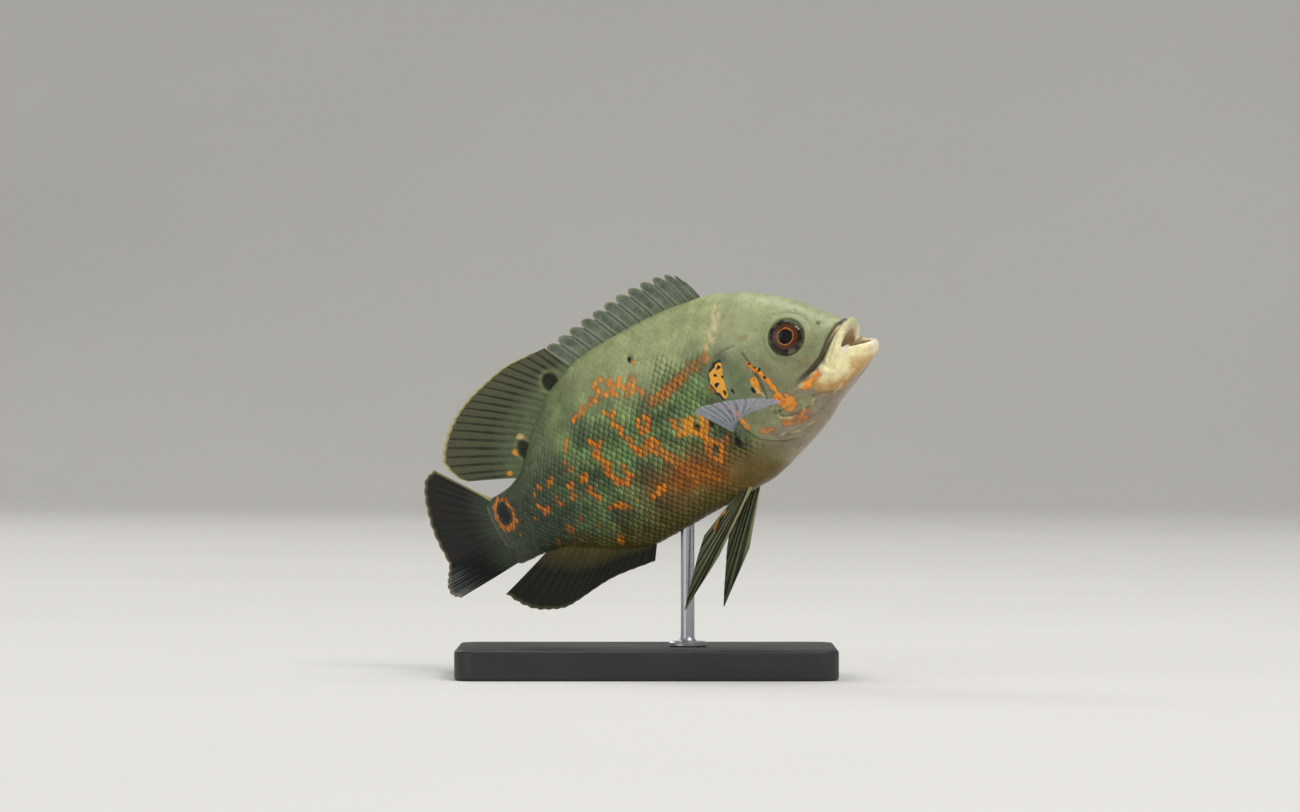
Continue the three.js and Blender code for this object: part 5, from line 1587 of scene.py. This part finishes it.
def pectoral_middle(side):
    (first_s, first_up), (last_s, last_up) = PECTORAL_ROOT
    turn = turn_at(first_s)
    ahead = np.array([math.cos(turn), -math.sin(turn), 0.0])
    aside = np.array([math.sin(turn), math.cos(turn), 0.0]) * side
    upward = np.array([0.0, 0.0, 1.0])

    def at(u, v):
        u = 1 - u if side > 0 else u
        root = flank_point(mixed(first_s, last_s, u), mixed(first_up, last_up, u), side)
        reach = v * (pectoral_length(u) + PECTORAL_SINK)
        forward = np.radians(mixed(*PECTORAL_FORWARD, u) - PECTORAL_CURL * v * v)
        lift = np.radians(mixed(*PECTORAL_LIFT, u))
        level = reach * np.cos(lift)
        root = root + (level * np.sin(forward))[..., None] * ahead
        root = root + (level * np.cos(forward) - PECTORAL_SINK)[..., None] * aside
        return root + (reach * np.sin(lift))[..., None] * upward

    return at


def pelvic_middle(side):
    drop = FAR_PELVIC_DROP if side > 0 else 0.0

    def at(u, v):
        root_s = mixed(*PELVIC_ROOT_S, u)
        back, up = pelvic_tip_back(u) - root_s, pelvic_tip_up(u) - PELVIC_ROOT_UP
        tip_back = back * math.cos(drop) + up * math.sin(drop)
        tip_up = up * math.cos(drop) - back * math.sin(drop)
        aside = side * (PELVIC_ROOT_SIDE + PELVIC_SPREAD * v)
        return straight_point(root_s, tip_back * v, aside, PELVIC_ROOT_UP + tip_up * v)

    return at


def fin_half(rays, root, fork, membrane=0.07, ray=0.2):
    """Half thickness over a fin: a thin membrane with a tapering ray on both faces."""

    def at(u, share):
        near_root = mixed(root, 1.0, smooth(share, 0, 0.3))
        return near_root * (membrane + ray * mixed(1.0, 0.3, share) * ray_profile(u, share, rays, fork))

    return at


JOINTS = 150.0
FIN_FINISH = {"Coat Weight": 0.04, "Specular IOR Level": 0.18}
RAY_ALPHA = 0.62


def fin_material(
    name, colours, membrane, ray, edge="fin_rim", root=None, clear=0, tip_dark=0, jointed=0.15, wide=0.3
):
    """A fin's finish, from the names of its colours: membrane, paler jointed rays, rim and root."""
    material, tree, shader = new_material(name)
    on_ray, out = read_value(tree, "ray"), read_value(tree, "out")
    orange, ink, rim, _ = read_marks(tree)
    mottle, specks = noise(tree, 0.003, 4.0), noise(tree, SPECK_SIZE)

    def named(colour):
        return rgba(getattr(colours, colour))

    def varied(colour, pattern, darkest, lightest):
        return shade(tree, colour, ranged(tree, pattern, *NOISE_RANGE, darkest, lightest))

    joints = maths(tree, "SINE", maths(tree, "MULTIPLY", out, JOINTS))
    rays = shade(tree, named(ray), ranged(tree, joints, -1.0, 1.0, 1 - jointed, 1 + jointed))
    ray_mask = ranged(tree, on_ray, wide - 0.3, wide, 0.0, 0.9)
    colour = tint(tree, ray_mask, varied(named(membrane), mottle, 0.6, 1.4), rays)
    colour = varied(colour, specks, 0.85, 1.15)
    if root:
        near_root = ranged(tree, out, 0.08, 0.5, 0.9, 0.0)
        colour = tint(tree, near_root, colour, varied(named(root), mottle, 0.8, 1.2))
    if tip_dark:
        colour = shade(tree, colour, ranged(tree, out, 0.3, 1.0, 1.0, 1.0 - tip_dark))
    # The ink mask also holds the painted spine shadows of the spiny dorsal fin
    for mask, mark in ((orange, "orange"), (rim, edge), (ink, "ink")):
        colour = tint(tree, mask, colour, named(mark))
    rough = ranged(tree, specks, *NOISE_RANGE, 0.45, 0.62)
    give(tree, shader, {"Base Color": colour, "Roughness": rough, **FIN_FINISH})
    if clear:
        solid = maths(tree, "MAXIMUM", on_ray, ranged(tree, out, 0.0, 0.25, 1.0, 0.0))
        give(tree, shader, {"Alpha": ranged(tree, solid, 0.0, 1.0, 1.0 - clear, RAY_ALPHA)})
    set_bump(tree, shader, specks, 0.00004)
    return material


def make_fin(names, material, rays, rows, middle, half, reach=None, fork=0.0, marks_at=None, first=0.0):
    """A fin piece from its names, as (piece, slot, node of the solids), and its form."""
    name, slot, node = names
    root, *thickness = half
    fin_half_at = fin_half(rays, root, fork, *thickness)
    points, faces, u, share = fin_blade((rays - 1) * FIN_STEPS, rows, middle, fin_half_at, reach, first)
    marks = np.zeros((len(u), 4))
    if marks_at:
        marks[:, :3] = np.stack(marks_at(u, share), -1)
    values = {"ray": ray_profile(u, share, rays, fork), "out": share, "marks": marks}
    finish_piece(closed_piece(name, points, faces, values), material, slot, node)


FIN_SPOT_EDGE, PELVIC_SPOT_EDGE = (0.7, 1.15), (0.75, 1.15)
# Marks of the soft dorsal fin as (depth, s, up, half length, half height)
DORSAL_EYES = [(1, 83.9, 29.4, 2.6, 2.7), (1, 100.2, 16.6, 2.3, 3.3)]
DORSAL_RINGS = [(1, 83.9, 29.4, 3.5, 3.6), (0.7, 100.2, 16.6, 3.1, 4.2)]
DORSAL_YELLOW = [(1, 85.3, 25.5, 1.3, 0.8), (1, 99.6, 20.6, 1.2, 0.8)]
DORSAL_ORANGE = [(1, 103.4, 17.4, 0.8, 1.1), (1, 108.3, 13.2, 1, 0.7), (0.7, 99.2, 20.2, 0.9, 0.6)]
DORSAL_MARKS = (DORSAL_EYES, DORSAL_RINGS, DORSAL_YELLOW, DORSAL_ORANGE)
# Marks of the pelvic fins as (depth, place across the rays, place along them, half sizes)
PELVIC_ORANGE = [(1, 0.94, 0.47, 0.06, 0.06), (1, 0.9, 0.62, 0.06, 0.07)]
PELVIC_DARK = [(0.8, 0.86, 0.54, 0.1, 0.12)]


# Painted shadow: a dark line down each spine, laid in the ink mask, and a pale rim along the edge
def spiny_rim_and_spine_shadows(u, share):
    return 0 * u, 0.75 * bell(off_ray(u, SPINES), 0.075), 0.3 * smooth(share, 0.93, 0.99)


def soft_marks(u, share):
    """Two dark eye spots at the base, with yellow and orange flecks beside them."""
    base = mixed(*SOFT_BASE, u)
    along = base + soft_tip_back(u) * share
    up = mixed(back_line(base) - FIN_SINK, soft_tip_up(u), share**FIN_POWER)
    ink, ring, yellow, orange = (flecks(along, up, spots, *FIN_SPOT_EDGE) for spots in DORSAL_MARKS)
    edge = smooth(share, 0.965, 0.985) * smooth(u, 0.02, 0.1)
    return 0.9 * orange, 0.85 * ink, np.max([edge, 0.75 * yellow, 0.22 * (ring - ink).clip(0)], axis=0)


def anal_marks(u, share):
    return 0 * u, 0.25 * smooth(share, 0.5, 1.0), 0.35 * smooth(share, 0.96, 0.99)


def tail_marks(u, share):
    rim = np.maximum(0.7 * smooth(share, 0.968, 0.985), 0.6 * smooth(u, 0.02, 0.008))
    return 0 * u, 0.45 * smooth(share, 0.15, 0.6), rim


def pelvic_marks(u, share):
    dark = np.maximum(flecks(u, share, PELVIC_DARK, *PELVIC_SPOT_EDGE), 0.3 * smooth(share, 0.5, 1))
    return flecks(u, share, PELVIC_ORANGE, *PELVIC_SPOT_EDGE), dark, 0.3 * smooth(u, 0.08, 0.02)


class OSCAR_OT_middle_fins(bpy.types.Operator):
    """Dorsal, anal and tail fins, with their rays and rims"""

    bl_idname = "oscar.middle_fins"
    bl_label = "Dorsal, anal and tail fins"

    def execute(self, context):
        colours = context.scene.oscar_colours
        spiny = fin_material("dorsal_fin", colours, "dorsal", "spine", root="gill", jointed=0.03)
        soft = fin_material("soft_fins", colours, "soft_fin", "fin_ray", root="gill", jointed=0.06)
        anal = fin_material("anal_fin", colours, "tail_fin", "tail_ray", root="belly", jointed=0.06)
        tail = fin_material(
            "tail_fin", colours, "tail_fin", "tail_ray", root="rear", tip_dark=0.35, jointed=0.06
        )
        make_fin(
            ("dorsal_spines", "fins", "dorsal_fin_spiny"), spiny, SPINES, rows=26, middle=spiny_dorsal_middle,
            half=(2.2, 0.08, 0.26), reach=spiny_dorsal_reach, marks_at=spiny_rim_and_spine_shadows,
        )
        make_fin(
            ("dorsal_soft_rays", "fins", "dorsal_fin_soft"), soft, SOFT_RAYS, rows=44,
            middle=soft_dorsal_middle, half=(2.6,), reach=soft_edge(SOFT_RAYS, 0.012), fork=0.16,
            marks_at=soft_marks, first=-0.045,
        )
        make_fin(
            ("anal_rays", "fins", "anal_fin"), anal, ANAL_RAYS, rows=36, middle=anal_middle,
            half=(2.6,), reach=soft_edge(ANAL_RAYS, 0.015), fork=0.2, marks_at=anal_marks,
        )
        make_fin(
            ("tail_rays", "fins", "tail_fin"), tail, TAIL_RAYS, rows=40, middle=tail_middle,
            half=(3.2,), reach=soft_edge(TAIL_RAYS, 0.015), fork=0.22, marks_at=tail_marks,
        )
        return {"FINISHED"}


class OSCAR_OT_paired_fins(bpy.types.Operator):
    """Clear pectoral fins and half-closed pelvic fins"""

    bl_idname = "oscar.paired_fins"
    bl_label = "Pectoral and pelvic fins"

    def execute(self, context):
        colours = context.scene.oscar_colours
        clear = fin_material(
            "pectoral_fins", colours, "clear_fin", "clear_ray", "clear_ray", clear=0.78, jointed=0.05
        )
        pelvic = fin_material("pelvic_fins", colours, "pelvic_fin", "pelvic_ray", wide=0.7)
        for name, side in SIDES:
            make_fin(
                (f"pectoral_rays_{name}", "clear_fins", f"pectoral_fin_{name}"), clear, PECTORAL_RAYS,
                rows=40, middle=pectoral_middle(side), half=(3.0, 0.04, 0.1),
                reach=soft_edge(PECTORAL_RAYS, 0.008), fork=0.2,
            )
            make_fin(
                (f"pelvic_rays_{name}", "fins", f"pelvic_fin_{name}"), pelvic, PELVIC_RAYS, rows=44,
                middle=pelvic_middle(side), half=(2.6, 0.08, 0.24), fork=0.2, marks_at=pelvic_marks,
            )
        return {"FINISHED"}


# Stand


BASE_CORNER, CORNER_STEPS = 0.006, 8
BASE_BEVEL, BEVEL_STEPS = 0.0009, 5
# Corners of the base as (x sign, y sign, where its arc starts in degrees)
BASE_CORNERS = ((1, -1, -90), (1, 1, 0), (-1, 1, 90), (-1, -1, 180))
ROD_SIDES, CAP_RADIUS, FOOT_GAP = 64, 0.0001, 0.00005
FLANGE_EDGE, FLANGE_TOP, ROD_ROUNDING = 0.0003, 0.0014, 0.003
SMOOTH_BELOW = math.radians(38)
BRUSHED = (0.08, 0.08, 1.0)


def base_material(colours):
    material, tree, shader = new_material("stand_base")
    broad = noise(tree, 0.02)
    colour = shade(tree, rgba(colours.base), ranged(tree, broad, *NOISE_RANGE, 0.85, 1.15))
    give(tree, shader, {"Base Color": colour, "Roughness": ranged(tree, broad, *NOISE_RANGE, 0.42, 0.55)})
    set_bump(tree, shader, noise(tree, 0.0004, 4.0), 0.00003)
    return material


def rod_material(colours):
    material, tree, shader = new_material("stand_rod")
    where = add_node(tree, "ShaderNodeTexCoord").outputs["Object"]
    stretched = add_node(tree, "ShaderNodeMapping", {"Vector": where, "Scale": BRUSHED}).outputs[0]
    brushed = noise(tree, 0.00012, 3.0, stretched)
    rough = ranged(tree, brushed, *NOISE_RANGE, 0.24, 0.42)
    give(tree, shader, {"Base Color": rgba(colours.rod), "Metallic": 1.0, "Roughness": rough})
    set_bump(tree, shader, brushed, 0.00001)
    return material


def bevel_profile(low, high):
    """Insets and heights from the underside over two rounded edges to the top."""
    turns = np.linspace(0, math.pi / 2, BEVEL_STEPS + 1)
    lower = [(BASE_BEVEL * (1 - math.sin(t)), low + BASE_BEVEL * (1 - math.cos(t))) for t in turns]
    upper = [(BASE_BEVEL * (1 - math.cos(t)), high - BASE_BEVEL * (1 - math.sin(t))) for t in turns]
    return lower + upper


def base_plate():
    """The base, with round corners and bevelled edges, in metres."""
    low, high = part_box("stand_base")
    half = (Vector(high) - Vector(low)) / 2
    outline = []
    for cx, cy, start in BASE_CORNERS:
        x, y = cx * (half.x - BASE_CORNER), cy * (half.y - BASE_CORNER)
        turns = np.radians(start + np.linspace(0, 90, CORNER_STEPS + 1))
        outline += [(x, y, math.cos(t), math.sin(t)) for t in turns]
    return closed_loft([
        [(x + (BASE_CORNER - inset) * c, y + (BASE_CORNER - inset) * d, z) for x, y, c, d in outline]
        for inset, z in bevel_profile(low[2], high[2])
    ])


def rod_and_flange(radius):
    """The rod on its flange, in metres."""
    low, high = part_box("stand_rod")
    x, y = (low[0] + high[0]) / 2, (low[1] + high[1]) / 2
    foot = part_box("stand_base")[1][2]
    flange = (high[0] - low[0]) / 2
    profile = [
        (CAP_RADIUS, foot + FOOT_GAP), (flange - FLANGE_EDGE, foot + FOOT_GAP), (flange, foot + FLANGE_EDGE),
        (flange, foot + FLANGE_TOP - FLANGE_EDGE), (flange - FLANGE_EDGE, foot + FLANGE_TOP),
        (radius + 0.0006, foot + 0.0015), (radius + 0.0001, foot + 0.0021), (radius, foot + ROD_ROUNDING),
        (radius, high[2]), (CAP_RADIUS, high[2]),
    ]
    t = circle(ROD_SIDES)
    return closed_loft([
        np.stack([x + r * np.cos(t), y + r * np.sin(t), np.full_like(t, z)], -1) for r, z in profile
    ])


class OSCAR_OT_stand(bpy.types.Operator):
    """Plain display stand: a bevelled base and a rod with a flange"""

    bl_idname = "oscar.stand"
    bl_label = "Display stand"

    def execute(self, context):
        sizes, colours = context.scene.oscar_sizes, context.scene.oscar_colours
        for name, form, material, slot, node in (
            ("base_plate", base_plate(), base_material(colours), "base", "stand_base"),
            ("rod_and_flange", rod_and_flange(sizes.rod_radius), rod_material(colours), "rod", "stand_rod"),
        ):
            piece = mesh_piece(name, *form)
            outward(piece)
            finish_piece(piece, material, slot, node)
            piece.data.shade_smooth()
            piece.data.set_sharp_from_angle(angle=SMOOTH_BELOW)
        return {"FINISHED"}


# Stage


CAMERA_DISTANCE = 1.6
SENSOR_WIDTH = 36.0
PICTURE_WIDTH = 0.3429
PICTURE_CENTRE = (0.0009, 0.0713)
CLIP_RANGE = (0.01, 50.0)
FLOOR_START, FLOOR_END, FLOOR_BEND, WALL_TOP, FLOOR_SIDE = -6.0, 2.6, 1.2, 5.0, 6.0
FLOOR_TURNS = np.linspace(0.1, math.pi / 2, 16)
SKY_COLOUR, SKY_STRENGTH = (0.92, 0.91, 0.89, 1), 0.38
LIGHT_AIM = Vector((0, 0, 0.06))
# Lights as (name, place, size, power)
LIGHTS = (
    ("key_light", (1.1, -1.5, 1.9), 0.9, 25.0),
    ("fill_light", (-1.9, -1.6, 0.7), 1.4, 7.5),
    ("top_light", (0.1, 0.1, 2.3), 1.2, 19.0),
    ("back_light", (-1.2, 1.9, 1.5), 1.0, 12.0),
)


def add_floor(colours):
    """A floor that bends up into a backdrop."""
    profile = [(FLOOR_START, 0.0), (FLOOR_END, 0.0)]
    profile += [
        (FLOOR_END + FLOOR_BEND * math.sin(t), FLOOR_BEND - FLOOR_BEND * math.cos(t)) for t in FLOOR_TURNS
    ]
    profile += [(FLOOR_END + FLOOR_BEND, WALL_TOP)]
    points = [(x, y, z) for y, z in profile for x in (-FLOOR_SIDE, FLOOR_SIDE)]
    floor = mesh_piece("floor", points, grid_faces(len(profile) - 1, 1))
    material, tree, shader = new_material("floor")
    colour = shade(tree, rgba(colours.floor), ranged(tree, noise(tree, 0.3), *NOISE_RANGE, 0.98, 1.02))
    give(tree, shader, {"Base Color": colour, "Roughness": 0.9})
    floor.data.materials.append(material)


def add_light(scene, name, place, size, power):
    lamp = bpy.data.lights.new(name, "AREA")
    lamp.energy, lamp.size = power, size
    lit = bpy.data.objects.new(name, lamp)
    lit.location = place
    lit.rotation_mode = "QUATERNION"
    lit.rotation_quaternion = (LIGHT_AIM - Vector(place)).to_track_quat("-Z", "Y")
    scene.collection.objects.link(lit)


def add_camera(scene):
    camera = bpy.data.cameras.new("camera")
    camera.sensor_width = SENSOR_WIDTH
    camera.lens = SENSOR_WIDTH * CAMERA_DISTANCE / PICTURE_WIDTH
    camera.clip_start, camera.clip_end = CLIP_RANGE
    held = bpy.data.objects.new("camera", camera)
    held.location = (PICTURE_CENTRE[0], -CAMERA_DISTANCE, PICTURE_CENTRE[1])
    held.rotation_euler = (math.pi / 2, 0, 0)
    scene.collection.objects.link(held)
    scene.camera = held


class OSCAR_OT_stage(bpy.types.Operator):
    """Pale floor and backdrop, soft lights and the camera"""

    bl_idname = "oscar.stage"
    bl_label = "Stage"

    def execute(self, context):
        scene = context.scene
        add_floor(scene.oscar_colours)
        scene.world = bpy.data.worlds.new("studio")
        scene.world.use_nodes = True
        tree = scene.world.node_tree
        give(tree, tree.nodes["Background"], {"Color": SKY_COLOUR, "Strength": SKY_STRENGTH})
        for light in LIGHTS:
            add_light(scene, *light)
        add_camera(scene)
        scene.view_settings.view_transform = "Standard"
        return {"FINISHED"}


# Settings and panel


def length_setting(name, description, default):
    return FloatProperty(name=name, description=description, default=default, unit="LENGTH", precision=5)


def srgb(code):
    """A colour for the shaders from its usual six-letter code."""
    parts = [int(code[i : i + 2], 16) / 255 for i in (0, 2, 4)]
    return tuple(p / 12.92 if p <= 0.04045 else ((p + 0.055) / 1.055) ** 2.4 for p in parts)


def colour_setting(name, description, code):
    return FloatVectorProperty(
        name=name, description=description, subtype="COLOR", size=3, min=0, max=1, default=srgb(code)
    )


class OSCAR_PG_sizes(bpy.types.PropertyGroup):
    skin_grain: length_setting("Skin grain", "Size of the skin's faces", 0.0003)
    skin_depth: length_setting("Skin depth", "How far the skin lies under the scales", 0.0001)
    scale_length: length_setting("Scale length", "Distance from one scale to the next along a row", 0.0018)
    scale_spacing: length_setting("Row spacing", "Distance from one row of scales to the next", 0.00122)
    rod_radius: length_setting("Rod radius", "Radius of the stand's rod", 0.0018)


class OSCAR_PG_colours(bpy.types.PropertyGroup):
    flank: colour_setting("Flank", "Green-grey of the flanks", "4e6442")
    flank_light: colour_setting("Light flank", "Lighter green patches of the flanks", "84a064")
    rear: colour_setting("Rear", "Dark olive green before the tail", "485640")
    back: colour_setting("Back", "Olive grey of the back", "a5ac7c")
    belly: colour_setting("Belly", "Brown of the belly", "6a6034")
    wash: colour_setting("Belly wash", "Orange-brown wash over the belly", "99580f")
    breast: colour_setting("Breast", "Olive brown of the breast", "6e5c30")
    cheek: colour_setting("Cheek", "Olive grey of the cheeks", "8c8f68")
    brow: colour_setting("Brow", "Olive of the brow and nape", "a6ac80")
    gill: colour_setting("Gill cover", "Grey-green of the gill covers", "6c7c5a")
    dusk: colour_setting("Dusk", "Dark shade above and behind the gill covers", "2f2f22")
    throat: colour_setting("Throat", "Greyish lilac-tan of the throat", "8c8068")
    lip: colour_setting("Lips", "Cream of the lips", "fbf1bc")
    jaw: colour_setting("Jaw", "Orange-tan of the lower jaw", "c08a3c")
    mouth: colour_setting("Mouth", "Lining of the mouth", "d4bb9e")
    # The tongue colour also paints the highlight on the lower lip's tip
    tongue: colour_setting("Tongue", "Pale tongue", "f1e8da")
    # Painted shade deep inside the mouth
    gullet_shade: colour_setting("Gullet", "Dark of the throat's inside", "3a1d16")
    # Painted shade in the mouth's groove, along the gill and cheek edges and in the throat's folds
    shadow: colour_setting("Shadow", "Dark skin in the grooves", "2a1f15")
    rust: colour_setting("Rust", "Brown-orange of the weaker marks", "8f4a14")
    orange: colour_setting("Orange", "Orange of the marks", "ffa226")
    orange_deep: colour_setting("Deep orange", "Redder orange of the marks", "e66a10")
    gold: colour_setting("Gold", "Yellow-orange of the gill spot", "fbb236")
    pale: colour_setting("Pale", "Cream of the pale streaks", "d9cb98")
    # Ink also darkens the painted shadow lines along the dorsal spines
    ink: colour_setting("Ink", "Black of the eye spots and dots", "040403")
    pupil: colour_setting("Pupil", "Black of the pupil", "060505")
    amber: colour_setting("Amber", "Bright rings of the iris", "de923e")
    amber_dark: colour_setting("Dark amber", "Iris between its bright rings", "743c17")
    iris: colour_setting("Iris", "Dark outer iris", "1c120d")
    orbit_dark: colour_setting("Dark orbit", "Dark edge of the eye", "38382c")
    orbit: colour_setting("Orbit", "Rim of the eye", "66694c")
    dorsal: colour_setting("Spiny fin", "Membrane between the spines", "6a7664")
    spine: colour_setting("Spines", "Spines of the dorsal fin", "8f9885")
    soft_fin: colour_setting("Soft fins", "Membrane of the soft fins", "2f3325")
    tail_fin: colour_setting("Tail fin", "Membrane of the tail fin", "0f110c")
    tail_ray: colour_setting("Tail rays", "Rays of the tail fin", "26271d")
    fin_ray: colour_setting("Fin rays", "Rays of the fins", "5e6048")
    fin_rim: colour_setting("Fin rim", "Pale rim of the fins", "d8cd92")
    clear_fin: colour_setting("Clear fin", "Tint of the pectoral fins", "adb1c6")
    clear_ray: colour_setting("Clear rays", "Rays of the pectoral fins", "c4c7da")
    pelvic_fin: colour_setting("Pelvic fin", "Membrane of the pelvic fins", "33382a")
    pelvic_ray: colour_setting("Pelvic rays", "Rays of the pelvic fins", "7e825c")
    base: colour_setting("Base", "Lacquer of the base", "2a2a2c")
    rod: colour_setting("Rod", "Metal of the rod", "b9bcc0")
    floor: colour_setting("Floor", "Floor and backdrop", "e2e0dc")


MAKERS = ("stage", "skin", "scales", "eyes", "middle_fins", "paired_fins", "stand")


class OSCAR_PT_panel(bpy.types.Panel):
    """The model's pieces and settings"""

    bl_idname = "OSCAR_PT_panel"
    bl_label = "Oscar"
    bl_space_type = "VIEW_3D"
    bl_region_type = "UI"
    bl_category = "Oscar"

    def draw(self, context):
        for maker in MAKERS:
            self.layout.operator(f"oscar.{maker}")
        for group in (context.scene.oscar_sizes, context.scene.oscar_colours):
            column = self.layout.column()
            for name in group.bl_rna.properties.keys():
                if name not in ("rna_type", "name"):
                    column.prop(group, name)


CLASSES = (
    OSCAR_PG_sizes, OSCAR_PG_colours, OSCAR_OT_stage, OSCAR_OT_skin, OSCAR_OT_scales, OSCAR_OT_eyes,
    OSCAR_OT_middle_fins, OSCAR_OT_paired_fins, OSCAR_OT_stand, OSCAR_PT_panel,
)


def register():
    for kind in CLASSES:
        bpy.utils.register_class(kind)
    bpy.types.Scene.oscar_sizes = PointerProperty(type=OSCAR_PG_sizes)
    bpy.types.Scene.oscar_colours = PointerProperty(type=OSCAR_PG_colours)


def unregister():
    del bpy.types.Scene.oscar_colours
    del bpy.types.Scene.oscar_sizes
    for kind in reversed(CLASSES):
        bpy.utils.unregister_class(kind)


def main():
    register()
    for maker in MAKERS:
        getattr(bpy.ops.oscar, maker)()


if __name__ == "__main__":
    main()
